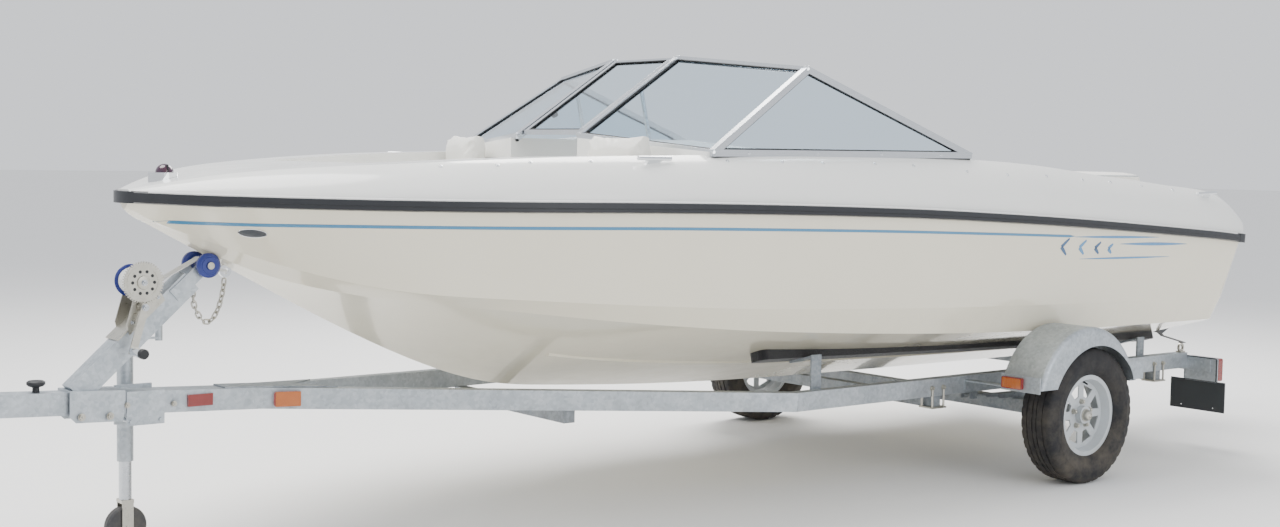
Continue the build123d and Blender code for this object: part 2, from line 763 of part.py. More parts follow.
def drive_leg():
    x0, z0 = drive_x, drive_z
    bell = rod((x0 + 22, 0, z0), (x0 - 90, 0, z0), 82)
    pins = rod((x0, -ring_half + 1, z0), (x0, ring_half - 1, z0), tilt_pin_r)
    head = side_slab([(x0 + dx, z0 + dz) for dx, dz in DRIVE_HEAD], -78, 78)
    head = fillet(head.edges().filter_by(Axis.Y), 18)
    neck = loft([Pos(x0 - 235, 0, plate_z + 5) * Ellipse(130, 42), Pos(x0 - 215, 0, z0 - 70) * Ellipse(120, 62)])
    plate = Pos(x0 - 270, 0, plate_z) * extrude(Ellipse(225, 120), 13)
    strut = loft([Pos(x0 - 265, 0, prop_z + 30) * Ellipse(112, 26), Pos(x0 - 250, 0, plate_z + 5) * Ellipse(125, 34)])
    outline = Polyline((x0 - 90, 0, prop_z), (x0 - 100, 0, prop_z + 26), (x0 - 130, 0, prop_z + 44),
                       (x0 - 200, 0, prop_z + 52), (x0 - 440, 0, prop_z + 46), (x0 - 440, 0, prop_z), close=True)
    torpedo = revolve(make_face(outline), Axis((x0, 0, prop_z), (1, 0, 0)))
    skeg = side_slab([(x0 - 190, prop_z - 35), (x0 - 380, prop_z - 35), (x0 - 415, 50), (x0 - 350, 35),
                      (x0 - 275, 62)], -7, 7)
    rear_x, rear_z = x0 + ram_rear[0], z0 + ram_rear[1]
    bosses = rod((rear_x, -ram_y + 22, rear_z), (rear_x, ram_y - 22, rear_z), 17)
    return trimmed(bell + pins + head + neck + plate + strut + torpedo + skeg + bosses)


# columns: radius, pitch angle, half chord, thickness
BLADE = [(30, 40, 42, 8), (70, 34, 66, 7), (120, 28, 74, 5), (158, 24, 56, 4), (178, 22, 24, 2)]


def propeller():
    hub = rod((drive_x - 440.3, 0, prop_z), (drive_x - 545, 0, prop_z), 44)
    sections = []
    for radius, turn, half, thick in BLADE:
        corners = [(-half, 0), (-half * 0.3, thick), (half * 0.5, thick * 0.8), (half, 0), (0, -thick * 0.3)]
        place = Plane(origin=(drive_x - 492, 0, prop_z + radius), x_dir=(1, 0, 0), z_dir=(0, 0, 1))
        sections.append(place * Rot(0, 0, turn) * make_face(Polyline(*corners, close=True)))
    blade = loft(sections, ruled=True)
    wheel = hub
    for turn in (0, 120, 240):
        wheel = wheel + Pos(0, 0, prop_z) * Rot(turn, 0, 0) * Pos(0, 0, -prop_z) * blade
    return trimmed(wheel)


def ram_ends():
    """Front pin, rear pin with the leg trimmed up, and the distance between them, in X and Z."""
    dx, dz = ram_rear
    c, s = cos(radians(trim_up)), sin(radians(trim_up))
    front = (drive_x + ram_front[0], drive_z + ram_front[1])
    rear = (drive_x + dx * c + dz * s, drive_z - dx * s + dz * c)
    return front, rear, hypot(rear[0] - front[0], rear[1] - front[1])


def ram_point(distance):
    front, rear, span = ram_ends()
    share = distance / span
    return (front[0] + (rear[0] - front[0]) * share, ram_y, front[1] + (rear[1] - front[1]) * share)


def trim_barrels():
    front = ram_ends()[0]
    eye_end = side_round(front[0], front[1], ram_eye_r, ram_y - ram_r, ram_y + ram_r)
    barrel = tube(ram_point(ram_eye_r + 20), ram_point(ram_barrel), ram_r, ram_rod_r + run_gap)
    barrel = barrel + rod(ram_point(ram_eye_r - 4), ram_point(ram_eye_r + 22), ram_r - 4)
    return both(barrel + eye_end)


def trim_rods():
    rear, span = ram_ends()[1:]
    stick = rod(ram_point(ram_barrel - 40), ram_point(span - 10), ram_rod_r)
    eye_end = side_round(rear[0], rear[1], ram_eye_r, ram_y - 16, ram_y + 16)
    return both(stick + eye_end)


# Trailer frame
def rail():
    """Galvanised side rail: level at the rear, bent in and up to the neck."""
    mid = rail_h / 2
    neck_y = (rail_w + neck_rear_gap) / 2
    points = [(rail_rear, rail_y, rail_top - mid), (rail_bend, rail_y, rail_top - mid),
              (neck_start, neck_y, top_of_front(neck_start) - mid), (neck_front, neck_y, top_of_front(neck_front) - mid)]
    runs = [bar(points[0], points[1], rail_w, rail_h), bar(points[1], points[2], rail_w, rail_h, 7),
            bar(points[2], points[3], rail_w, rail_h)]
    return runs[0] + runs[1] + runs[2]


def cross_members():
    """Square tubes bolted under the rails, and the gusset in the V."""
    low = rail_top - rail_h
    beams = [block(x - 25, x + 25, -rail_y - 20, rail_y + 20, low - 50, low) for x in cross_places]
    x0 = front_cross
    half = rail_y - (x0 - rail_bend) * (rail_y - 27) / (neck_start - rail_bend)
    z0 = top_of_front(x0 - 25) - rail_h - 0.3
    beams.append(block(x0 - 25, x0 + 25, -half, half, z0 - 50, z0))
    group = beams[0]
    for other in beams[1:]:
        group = group + other
    return group


def gusset():
    x0, x1 = neck_start - 260, neck_start + 150
    half0 = 52 + (neck_start - x0) * (rail_y - 27) / (neck_start - rail_bend)
    plate = plan_slab([(x0, half0 - 30), (neck_start, 50), (x1, 50), (x1, -50), (neck_start, -50), (x0, -half0 + 30),
                       (x0 + 120, 0)], -2.5, 2.5)
    lean = degrees(atan2(front_rise, 1))
    return Pos(x0, 0, top_of_front(x0) + 3) * Rot(0, -lean, 0) * Pos(-x0, 0, 0) * plate


def tongue():
    mid = tongue_size / 2
    p = (neck_front + 0.3, 0, top_of_front(neck_front) - mid)
    q = (tongue_front, 0, top_of_front(tongue_front) - mid)
    return bar(p, q, tongue_size, tongue_size)


def coupler():
    """Pressed-steel ball coupler with its socket open below and a latch on top."""
    z = top_of_front(tongue_front) - tongue_size / 2
    sleeve = block(tongue_front - 150, tongue_front + 40, -46, 46, z - 34, z + 46)
    sleeve = sleeve - block(tongue_front - 200, tongue_front + 60, -tongue_size / 2 - 0.3, tongue_size / 2 + 0.3, z - 80, z + 41)
    nose = block(tongue_front + 0.3, ball_x, -42, 42, z - 30, z + 46) + Pos(ball_x, 0, z + 8) * Cylinder(44, 76)
    nose = fillet(nose.edges().group_by(Axis.Z)[-1], 8)
    nose = nose - Pos(ball_x, 0, z - 6) * Sphere(ball_r + 0.6)
    nose = nose - Pos(ball_x, 0, z - 40) * Cylinder(ball_r + 0.6, 68)
    latch = side_slab([(tongue_front + 10, z + 46), (tongue_front + 70, z + 46), (tongue_front + 96, z + 78),
                       (tongue_front + 84, z + 84), (tongue_front + 40, z + 62), (tongue_front + 10, z + 62)], -13, 13)
    lean = degrees(atan2(front_rise, 1))
    head = sleeve + nose + latch
    return Pos(tongue_front, 0, z) * Rot(0, -lean, 0) * Pos(-tongue_front, 0, -z) * head


def post_point(along, above):
    """Point beside the post: its distance up the post from the foot and above the centre line."""
    size = hypot(post_high[0] - post_low[0], post_high[2] - post_low[2])
    ux, uz = (post_high[0] - post_low[0]) / size, (post_high[2] - post_low[2]) / size
    return (post_low[0] + ux * along + uz * above, 0, post_low[2] + uz * along - ux * above)


def over_frame(x0, x1, above, width, height):
    """Bar that lies on the rising front of the frame, its underside a little above it."""
    up = above + height / 2
    return bar((x0, 0, top_of_front(x0) + up), (x1, 0, top_of_front(x1) + up), width, height)


def winch_stand():
    """Leaning post on its saddle over the neck, with the arms of the bow roller."""
    post = bar(post_low, post_high, post_w, post_w) - over_frame(3800, 4200, 0.3 - 200, 200, 200)
    saddle = over_frame(3912, 4098, 0.3, 116, 6)
    plates = side_slab([(4098, 584), (4098, 500), (4078, 480), (3918, 474), (3912, 576)], neck_half + 0.3, 58)
    arm = bar(post_point(post_length - 70, 8), (roller_x, 0, roller_z), 6, 46, 12)
    arms = both(Pos(0, post_w / 2 + 3, 0) * arm) - side_round(roller_x, roller_z, roller_pin_r + run_gap, -60, 60)
    stand = post + saddle + both(plates) + arms
    for x, z in ((4062, 500), (3966, 496)):
        stand = stand + both(side_round(x, z, 9, 58, 65))
    return stand


def bow_roller():
    """Dumbbell roller with its pin, set between and outside the arms."""
    waist = side_round(roller_x, roller_z, roller_waist_r, -post_w / 2 + run_gap, post_w / 2 - run_gap)
    lobe = side_round(roller_x, roller_z, roller_r, post_w / 2 + 8, post_w / 2 + 38)
    lobe = chamfer(lobe.edges().filter_by(GeomType.CIRCLE), 9)
    cap = side_round(roller_x, roller_z, 14, post_w / 2 + 38, post_w / 2 + 44)
    pin = side_round(roller_x, roller_z, roller_pin_r, -post_w / 2 - 46, post_w / 2 + 46)
    return waist + both(lobe + cap) + pin


def winch():
    """Two-gear hand winch on the post's upper face."""
    gear = side_round(winch_x, winch_z, 64, 62, 68)
    drum = side_round(winch_x, winch_z, drum_r, -50, 62)
    pinion = side_round(pinion_x, pinion_z, 14, 58, 76)
    frame = both(side_slab(winch_plate, 50, 54))
    crank = bar((pinion_x, 92, pinion_z), (crank_x, 92, crank_z), 6, 26, 12)
    shaft = side_round(pinion_x, pinion_z, 10, 50, 95)
    grip = side_round(crank_x, crank_z, 15, 96, 190) + side_round(crank_x, crank_z, 8, 88, 100)
    foot = bar(post_point(winch_foot[0], post_w / 2 + 2.8), post_point(winch_foot[1], post_w / 2 + 2.8), 108, 5)
    return gear + drum + pinion + frame + crank + shaft + grip + foot


def strap_points():
    """Run of the strap's middle from the drum over the roller's waist to the bow eye."""
    return [(winch_x - 37, 0, winch_z - 23), (roller_x + 8, 0, roller_z + 25), (roller_x - 12, 0, roller_z + 24),
            (bow_eye_x + eye_r + 6, 0, bow_eye_z + 9)]


def winch_strap():
    """Strap rolled on the drum, its taut run and the hook in the bow eye."""
    strap = side_round(winch_x, winch_z, 44, -44, 44) - side_round(winch_x, winch_z, drum_r + run_gap, -50, 50)
    points = strap_points()
    for p, q in zip(points, points[1:]):
        strap = strap + bar(p, q, 50, 3, 1)
    side_y = eye_thick / 2 + 3.3
    hook = bar((points[-1][0] + 4, side_y, points[-1][2]), (bow_eye_x, side_y, bow_eye_z), 6, 10, 3)
    hook = hook + side_round(bow_eye_x, bow_eye_z, 5, -eye_thick / 2 - 4, side_y)
    return strap + hook


def bow_chain():
    """Safety chain that hangs slack from the post to the bow eye."""
    start = post_point(post_length - 10, -post_w / 2 - 2.8)
    end = (bow_eye_x + 2, 0, bow_eye_z - eye_r - 4.8)
    points = [start, (3643, 0, 850), (3622, 0, 806), (3598, 0, 789), (3574, 0, 800), (3552, 0, 840), (3537, 0, 895), end]
    chain = bar(points[0], points[1], 9, 9)
    for p, q in zip(points[1:], points[2:]):
        chain = chain + bar(p, q, 9, 9, 2)
    return chain


def bunks(hull):
    """Carpeted boards under the hull, seated along its bottom."""
    lean = degrees(atan2(645 - 395, 860))
    rear, front = bunk_rear, bunk_front
    slope = degrees(atan2(bunk_front_z - bunk_rear_z, front - rear))
    board = Box(front - rear, bunk_w, bunk_thick)
    board = fillet(board.edges().filter_by(Axis.Z), 30)
    board = Pos((front + rear) / 2, bunk_y, (bunk_rear_z + bunk_front_z) / 2) * Rot(0, -slope, 0) * Rot(lean, 0, 0) * board
    return cut_to(both(board), hull)


def bunk_brackets(boards, hull):
    """Angle brackets from the rails' inner faces to under the boards."""
    inner = rail_y - rail_w / 2 - 0.3
    lean = degrees(atan2(HULL_STATIONS[0][3] - HULL_STATIONS[0][1], HULL_STATIONS[0][2]))
    reach = (inner - bunk_y) / cos(radians(lean))
    group = None
    for x in bracket_places:
        middle = bunk_rear_z + (bunk_front_z - bunk_rear_z) * (x - bunk_rear) / (bunk_front - bunk_rear)
        shelf = block(x - 28, x + 28, -40, reach, -bunk_thick / 2 - 8, -bunk_thick / 2)
        shelf = Pos(0, bunk_y, middle) * Rot(lean, 0, 0) * shelf
        post_top = middle + reach * sin(radians(lean)) - bunk_thick / 2
        post = block(x - 28, x + 28, inner - 8, inner, rail_top - rail_h + 8, post_top)
        group = shelf + post if group is None else group + shelf + post
    return cut_to(both(group & block(-3000, 3000, 0, inner, 0, 900)), boards, hull)


# Running gear
def axle():
    beam = block(-axle_tube / 2, axle_tube / 2, -900, 900, axle_z - axle_tube / 2, axle_z + axle_tube / 2)
    spindle = rod((0, 895, axle_z), (0, track_half + 34, axle_z), spindle_r)
    return beam + both(spindle)


def springs():
    """Leaf springs over the axle, with hangers under the rails."""
    low = rail_top - rail_h
    y0, y1 = rail_y - spring_w / 2, rail_y + spring_w / 2
    seat_z = axle_z + axle_tube / 2 + 6
    group = block(-50, 50, y0 - 4, y1 + 4, axle_z + axle_tube / 2, seat_z)
    for count, half in enumerate((140, 230, leaf_half)):
        z = seat_z + leaf_thick * (count + 1)
        rise = leaf_rise * (half / leaf_half) ** 2
        top = ThreePointArc((-half, z + rise), (0, z), (half, z + rise))
        end = Line((half, z + rise), (half, z + rise - leaf_thick))
        under = ThreePointArc((half, z + rise - leaf_thick), (0, z - leaf_thick), (-half, z + rise - leaf_thick))
        start = Line((-half, z + rise - leaf_thick), (-half, z + rise))
        face = Plane(origin=(0, y1, 0), x_dir=(1, 0, 0), z_dir=(0, -1, 0)) * make_face([top, end, under, start])
        group = group + extrude(face, spring_w)
    pin_z = seat_z + 3 * leaf_thick + leaf_rise - leaf_thick / 2
    for x in (-leaf_half, leaf_half):
        hanger = block(x - 24, x + 24, y0 - 6, y1 + 6, pin_z - 16, low)
        hanger = hanger - block(x - 40, x + 40, y0 - 0.3, y1 + 0.3, pin_z - 30, low - 3)
        group = group + hanger + side_round(x, pin_z, 9, y0 - 6, y1 + 6)
    return both(group)


def wheel_body():
    """Pressed-steel rim with eight triangular windows, and its hub."""
    half = rim_w / 2
    profile = [(rim_r - 6, -half), (rim_flange_r, -half), (rim_flange_r, -half + 7), (rim_r, -half + 9),
               (rim_r - 14, -22), (rim_r - 14, 12), (rim_r, half - 9), (rim_flange_r, half - 7), (rim_flange_r, half),
               (rim_r - 6, half), (rim_r - 20, 14), (rim_r - 20, -24)]
    face = Plane(origin=(0, 0, axle_z), x_dir=(0, 0, 1), z_dir=(1, 0, 0)) * make_face(
        Polyline(*[(r, -y) for r, y in profile], close=True))
    rim = Pos(0, track_half, 0) * revolve(face, Axis((0, 0, axle_z), (0, 1, 0)))
    disc = side_round(0, axle_z, rim_r - 16, track_half + 14, track_half + 20)
    for k in range(8):
        window = [(-13, 78), (13, 78), (34, 126), (-34, 126)]
        turned = Pos(0, 0, axle_z) * Rot(0, 45 * k + 22.5, 0) * side_slab(window, track_half, track_half + 40)
        disc = disc - turned
    hub = side_round(0, axle_z, hub_r, track_half - 62, track_half + 46)
    flange = side_round(0, axle_z, 68, track_half + 6, track_half + 14)
    bore = side_round(0, axle_z, spindle_r + run_gap, track_half - 70, track_half + 36)
    return rim + disc + hub + flange - bore


def tyre():
    half = tyre_w / 2
    bead = rim_w / 2 - 9.3
    side = [(rim_r + 0.4, bead), (rim_flange_r + 2, bead), (212, half - 8), (246, half), (tyre_r - 24, half - 8),
            (tyre_r - 7, half - 20), (tyre_r, half - 38)]
    profile = [(r, -y) for r, y in side] + list(reversed(side))
    face = Plane(origin=(0, 0, axle_z), x_dir=(0, 0, 1), z_dir=(1, 0, 0)) * make_face(Polyline(*profile, close=True))
    return Pos(0, track_half, 0) * revolve(face, Axis((0, 0, axle_z), (0, 1, 0)))


def rounded_edge(shape, y, r):
    """The shape with its arched edge at a value of Y rounded."""
    arch = [e for e in shape.edges().filter_by(GeomType.CIRCLE) if abs(e.center().Y - y) < 1]
    return fillet(arch, r)


def mudguard():
    """Rolled arch over one wheel, its side cut out round the tyre."""
    above = block(-900, 900, 800, 1300, fender_foot, 900)
    outer = side_round(fender_x, fender_z, fender_r, fender_in, fender_out) & above
    inner = side_round(fender_x, fender_z, fender_r - fender_sheet, fender_in - 60, fender_out - fender_sheet)
    inner = inner & block(-900, 900, 800, 1300, fender_foot - 60, 900)
    outer = rounded_edge(outer, fender_out, fender_edge_r)
    inner = rounded_edge(inner, fender_out - fender_sheet, fender_edge_r - fender_sheet)
    return outer - inner - side_round(0, axle_z, tyre_r + wheel_gap, fender_out - 40, fender_out + 10)


def fender_reach(z):
    """How far the arch reaches from its middle at a height."""
    return (fender_r ** 2 - (z - fender_z) ** 2) ** 0.5


def fenders():
    """Mudguards, each with brackets to the rail, a lamp plate in front and a tab behind."""
    reach = fender_reach(fender_foot)
    front, rear = fender_x + reach, fender_x - reach
    side = rail_y + rail_w / 2
    guard = mudguard()
    for x0, x1 in ((front - 44, front + 2), (rear - 40, rear + 2)):
        guard = guard + block(x0, x1, side, fender_out - 30, fender_foot - 6, fender_foot)
        guard = guard + block(x0, x1, side, side + 6, rail_top - 60, fender_foot)
    low, high = lamp_plate
    guard = guard + block(front - 3, front + 3, fender_in, fender_out - 12, low, high)
    tab = side_slab([(rear + 2, fender_foot), (rear + 12, high), (rear + 20, 524), (rear - 86, 520), (rear - 86, fender_foot)],
                    fender_out - fender_edge_r - 4, fender_out - fender_edge_r)
    tab = tab - side_round(fender_x, fender_z, fender_r - fender_sheet, 1000, 1200)
    return both(guard + tab)


# Lights, plate holder and tie-downs
def lamp_bracket():
    """Strip across the end of the rail that carries the tail lamp."""
    return block(rail_rear - lamp_strip, rail_rear, rail_y - 25, 840, 372, 430)


def tail_lenses():
    lens = block(rail_rear - lamp_depth, rail_rear - lamp_case - 0.3, *lamp_span, 324, 440)
    return both(fillet(lens.edges().filter_by(Axis.X), 10))


def plate_holder():
    """Dark cases of the two tail lamps, with the plate below the port one."""
    case = block(rail_rear - lamp_case, rail_rear - lamp_strip - 0.3, *lamp_span, 322, 442)
    case = fillet(case.edges().filter_by(Axis.X), 10)
    plate = block(rail_rear - lamp_case, rail_rear - lamp_case + 6, plate_y - 152.5, plate_y + 152.5, 172, 324)
    cases = both(case) + plate
    for y in (plate_y - plate_holes / 2, plate_y + plate_holes / 2):
        cases = cases - rod((rail_rear - 90, y, plate_hole_z), (rail_rear, y, plate_hole_z), plate_hole_r)
    return cases


def side_markers():
    """Markers on the neck, the rails and the plates in front of the fenders."""
    red = block(3600, 3690, 52.3, 62, top_of_front(3645) - 56, top_of_front(3645) - 14)
    lean = block(-45, 45, 0, 18, -27, 27)
    lean = fillet(lean.edges().filter_by(Axis.Y), 10)
    k = (rail_y - 27) / (neck_start - rail_bend)
    spot = 3330
    y = 27 + rail_w / 2 / cos(atan2(k, 1)) + (neck_start - spot) * k + 0.5
    amber = Pos(spot, y, top_of_front(spot) - 38) * Rot(0, 0, -degrees(atan2(k, 1))) * lean
    plate_x = fender_x + fender_reach(fender_foot) + 3
    guard = block(plate_x + 0.3, plate_x + 14, fender_in + 10, fender_in + 118, 434, 484)
    return both(red + amber + fillet(guard.edges().filter_by(Axis.X), 8))


def tie_rings():
    """Loop on each rail's end that holds the stern strap."""
    loop = Pos(rail_rear + 24, rail_y, rail_top + 24) * Rot(90, 0, 0) * (Cylinder(23, 10) - Cylinder(13, 10))
    foot = block(rail_rear + 4, rail_rear + 44, rail_y - 14, rail_y + 14, rail_top, rail_top + 7)
    return both(loop + foot)


def tie_straps():
    ring_top_z = rail_top + 24 + 23
    points = [(rail_rear + 24, rail_y, ring_top_z + 2), (rail_rear + 2, rail_y, ring_top_z + 2),
              (transom_at(560) - 26, 570, 530),
              (transom_at(stern_eye_z) - eye_out - 18, stern_eye_y + eye_thick / 2 + 6, stern_eye_z - 4)]
    strap = bar(points[0], points[1], 25, 3, 4)
    for p, q in zip(points[1:], points[2:]):
        strap = strap + bar(p, q, 25, 3, 2)
    return both(strap)


# Jack, swung down and standing on its wheel
def jack_bracket():
    """Clamp plates on the neck and the round seat of the jack's swivel."""
    z = top_of_front(jack_x)
    far = block(jack_x - 66, jack_x + 66, -neck_half - 10, -neck_half - 0.3, z - 124, z + 12)
    near = block(jack_x - 66, jack_x + 66, neck_half + 0.3, neck_half + 6, z - 114, z + 2)
    bolts = [side_round(jack_x + dx, z - 100, 7, -neck_half - 16, neck_half + 12) for dx in (-52, 52)]
    seat = side_round(jack_x, jack_pivot_z, 44, -82, -neck_half - 9)
    whole = far + near + bolts[0] + bolts[1] + seat
    return whole - side_round(jack_x, jack_pivot_z, 16 + run_gap, -100, -neck_half - 0.1)


def jack_tube():
    body = tube((jack_x, jack_y, jack_pivot_z - 225), (jack_x, jack_y, jack_pivot_z + 165), jack_tube_r,
                jack_leg_r + run_gap)
    cap = rod((jack_x, jack_y, jack_pivot_z + 165), (jack_x, jack_y, jack_pivot_z + 180), jack_tube_r + 3)
    swivel = side_round(jack_x, jack_pivot_z, 44, jack_y + 24, -82.3) + side_round(jack_x, jack_pivot_z, 16, -100, -neck_half - 3)
    swivel = swivel - rod((jack_x, jack_y, 300), (jack_x, jack_y, 700), jack_tube_r - 2)
    crank = rod((jack_x, jack_y, jack_pivot_z + 178), (jack_x, jack_y, jack_pivot_z + 205), 9)
    crank = crank + bar((jack_x + 10, jack_y, jack_pivot_z + 200), (jack_x - 130, jack_y, jack_pivot_z + 200), 22, 6)
    crank = crank + rod((jack_x - 122, jack_y, jack_pivot_z + 190), (jack_x - 122, jack_y, jack_pivot_z + 275), 13)
    return body + cap + swivel + crank


def jack_leg():
    return rod((jack_x, jack_y, 2 * jack_wheel_r + 24), (jack_x, jack_y, jack_pivot_z + 20), jack_leg_r)


def jack_fork():
    cheek = jack_wheel_w / 2 + 4
    fork = block(jack_x - 22, jack_x + 22, jack_y - cheek - 4, jack_y + cheek + 4, 2 * jack_wheel_r + 12, 2 * jack_wheel_r + 23.7)
    for side in (-1, 1):
        y0 = jack_y + side * (cheek + 2)
        fork = fork + block(jack_x - 20, jack_x + 20, y0 - 2, y0 + 2, jack_wheel_r - 18, 2 * jack_wheel_r + 14)
    return fork + side_round(jack_x, jack_wheel_r, 7, jack_y - cheek - 6, jack_y + cheek + 6)


def jack_wheel():
    wheel = side_round(jack_x, jack_wheel_r, jack_wheel_r, jack_y - jack_wheel_w / 2, jack_y + jack_wheel_w / 2)
    wheel = chamfer(wheel.edges().filter_by(GeomType.CIRCLE), 6)
    return wheel - side_round(jack_x, jack_wheel_r, 7 + run_gap, jack_y - 40, jack_y + 40)


def build_nodes():
    outer = hull_body() + strakes()
    hull = outer - hull_hollow() + stringers()
    deck_whole = deck_body()
    deck = deck_whole - outer - openings(0, 900, 1700)
    room = inside(outer)
    frame = shield_frame()
    door = door_frame()
    dash_top = dash(deck)
    frame = cut_to(frame, deck, dash_top)
    boards = bunks(outer)
    wheel, rubber = wheel_body(), tyre()
    nodes = {
        "hull": hull,
        "deck": deck,
        "rub_rail": cut_to(rub_rail(), outer, deck_whole),
        "sole": sole(room, hull, deck),
        "liner_panels": liner_panels(room, hull, deck),
        "consoles": consoles(room, hull, deck),
        "dash": dash_top,
        "windshield_frame": frame,
        "windshield_glass": shield_glass(frame),
        "windshield_door_frame": door,
        "windshield_door_glass": door_glass(door),
        "seat_pedestals": pedestals(),
        "helm_seat": seat_shell(-seat_y),
        "helm_cushions": seat_cushions(-seat_y),
        "companion_seat": seat_shell(seat_y),
        "companion_cushions": seat_cushions(seat_y),
        "benches": bow_benches() + rear_bench(),
        "bench_cushions": bow_cushions() + rear_cushions(),
        "engine": engine(),
        "hatch_lid": hatch_lid(),
        "sun_pad": sun_pad(),
        "steering_column": steering_column(deck),
        "steering_wheel": steering_wheel(),
        "deck_fittings": cleats(deck) + eyes(outer) + hatch_hinges(deck),
        "bow_light": bow_light(deck),
        "drive_mount": drive_mount(outer),
        "gimbal_ring": gimbal_ring(),
        "drive_leg": drive_leg(),
        "propeller": propeller(),
        "trim_barrels": trim_barrels(),
        "trim_rods": trim_rods(),
        "rails": both(rail() + lamp_bracket()),
        "cross_members": cross_members() + gusset(),
        "tongue": tongue(),
        "coupler": coupler(),
        "winch_stand": winch_stand(),
        "bow_roller": bow_roller(),
        "winch": winch(),
        "winch_strap": winch_strap(),
        "bow_chain": bow_chain(),
        "bunks": boards,
        "bunk_brackets": bunk_brackets(boards, outer),
        "axle": axle(),
        "springs": springs(),
        "wheel_port": wheel,
        "tyre_port": rubber,
        "wheel_starboard": mirror(wheel, about=Plane.XZ),
        "tyre_starboard": mirror(rubber, about=Plane.XZ),
        "fenders": fenders(),
        "lamps": tail_lenses() + side_markers(),
        "plate_holder": plate_holder(),
        "tie_rings": tie_rings(),
        "tie_straps": tie_straps(),
        "jack_bracket": jack_bracket(),
        "jack_tube": jack_tube(),
        "jack_leg": jack_leg(),
        "jack_fork": jack_fork(),
        "jack_wheel": jack_wheel(),
    }
    return nodes


def origin_shift(nodes):
    """Move that puts the origin under the middle of the whole part, on the ground."""
    boxes = [Compound(as_solids(shape)).bounding_box() for shape in nodes.values()]
    low_x, high_x = min(b.min.X for b in boxes), max(b.max.X for b in boxes)
    low_y, high_y = min(b.min.Y for b in boxes), max(b.max.Y for b in boxes)
    low_z = min(b.min.Z for b in boxes)
    return (-(low_x + high_x) / 2, -(low_y + high_y) / 2, -low_z)


def as_solids(shape):
    if isinstance(shape, list):
        return [solid for item in shape for solid in item.solids()]
    return list(shape.solids())


def main():
    os.makedirs("parts", exist_ok=True)
    nodes = build_nodes()
    shift = origin_shift(nodes)
    print("origin shift", [round(v, 3) for v in shift])
    for name, shape in nodes.items():
        solids = [Pos(*shift) * solid for solid in as_solids(shape)]
        export_step(Compound(solids), f"parts/{name}.step")


main()
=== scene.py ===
import bpy
import bmesh
import math
from mathutils import Matrix, Vector
from mathutils.bvhtree import BVHTree


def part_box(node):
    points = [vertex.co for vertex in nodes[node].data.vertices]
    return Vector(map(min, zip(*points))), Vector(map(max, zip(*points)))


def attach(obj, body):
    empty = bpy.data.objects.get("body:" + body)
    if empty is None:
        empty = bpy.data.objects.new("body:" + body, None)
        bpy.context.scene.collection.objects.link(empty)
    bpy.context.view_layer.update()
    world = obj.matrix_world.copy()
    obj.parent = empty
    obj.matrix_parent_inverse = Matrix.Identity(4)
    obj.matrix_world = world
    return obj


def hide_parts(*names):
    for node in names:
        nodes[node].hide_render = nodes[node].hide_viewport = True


# Open-bow runabout on its bunk trailer. Metres, +X forward, +Y port, +Z up, ground at zero.
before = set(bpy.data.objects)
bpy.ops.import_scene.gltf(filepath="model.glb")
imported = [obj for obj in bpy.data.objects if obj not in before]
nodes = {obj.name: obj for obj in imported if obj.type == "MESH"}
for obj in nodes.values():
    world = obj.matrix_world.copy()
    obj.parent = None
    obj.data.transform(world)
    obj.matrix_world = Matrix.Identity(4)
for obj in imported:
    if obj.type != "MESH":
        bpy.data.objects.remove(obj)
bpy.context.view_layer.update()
axleX = sum(corner.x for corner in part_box("axle")) / 2
scene = bpy.context.scene
print("stage: frame loaded,", len(nodes), "parts, axle at x", round(axleX, 4))


# Places are noted from the trailer's axle, as on a drawing of the boat
def spot(x, y, z):
    return Vector((x + axleX, y, z))


# Camera
photoView = {
    "fromAxle": (6.0038, 5.4178, 1.3932),
    "turn": 38.749,
    "down": 3.714,
    "roll": 1.044,
    "lens": 46.25,
    "sensor": 36.0,  # width in millimetres
}


def placeCamera():
    turn, down, roll = (math.radians(photoView[k]) for k in ("turn", "down", "roll"))
    ahead = Vector((-math.sin(turn), -math.cos(turn), 0))
    right = Vector((-math.cos(turn), math.sin(turn), 0))
    up = Vector((0, 0, 1))
    look = ahead * math.cos(down) - up * math.sin(down)
    top = up * math.cos(down) + ahead * math.sin(down)
    side = right * math.cos(roll) + top * math.sin(roll)
    top = top * math.cos(roll) - right * math.sin(roll)
    data = bpy.data.cameras.new("photoCamera")
    data.lens, data.sensor_width, data.sensor_fit = photoView["lens"], photoView["sensor"], "HORIZONTAL"
    data.dof.use_dof = False
    camera = bpy.data.objects.new("photoCamera", data)
    matrix = Matrix((side, top, -look)).transposed().to_4x4()
    matrix.translation = spot(*photoView["fromAxle"])
    camera.matrix_world = matrix
    scene.collection.objects.link(camera)
    scene.camera = camera


placeCamera()


# Floor and lights
studio = {
    "floorSize": 90.0,  # half the side
    "floorTone": (0.89, 0.885, 0.875, 1),
    "sky": (0.93, 0.955, 1.0, 1),
    "skyPower": 1.12,
}

# columns: name, from the axle, looks at, size, power, colour
lampTable = [
    ("lampHighStern", (-2.5, -3.5, 6.0), (1.2, 0, 0.9), 5.0, 760, (1.0, 0.985, 0.95)),
    ("lampOverBow", (5.0, -1.0, 6.5), (2.0, 0.2, 0.9), 4.5, 520, (1.0, 0.99, 0.97)),
    ("lampPortSide", (1.5, 8.5, 4.0), (1.0, 0, 0.7), 6.0, 260, (0.97, 0.985, 1.0)),
]


def aimedAt(place, target):
    look = (target - place).normalized()
    return look.to_track_quat("-Z", "Y").to_matrix().to_4x4()


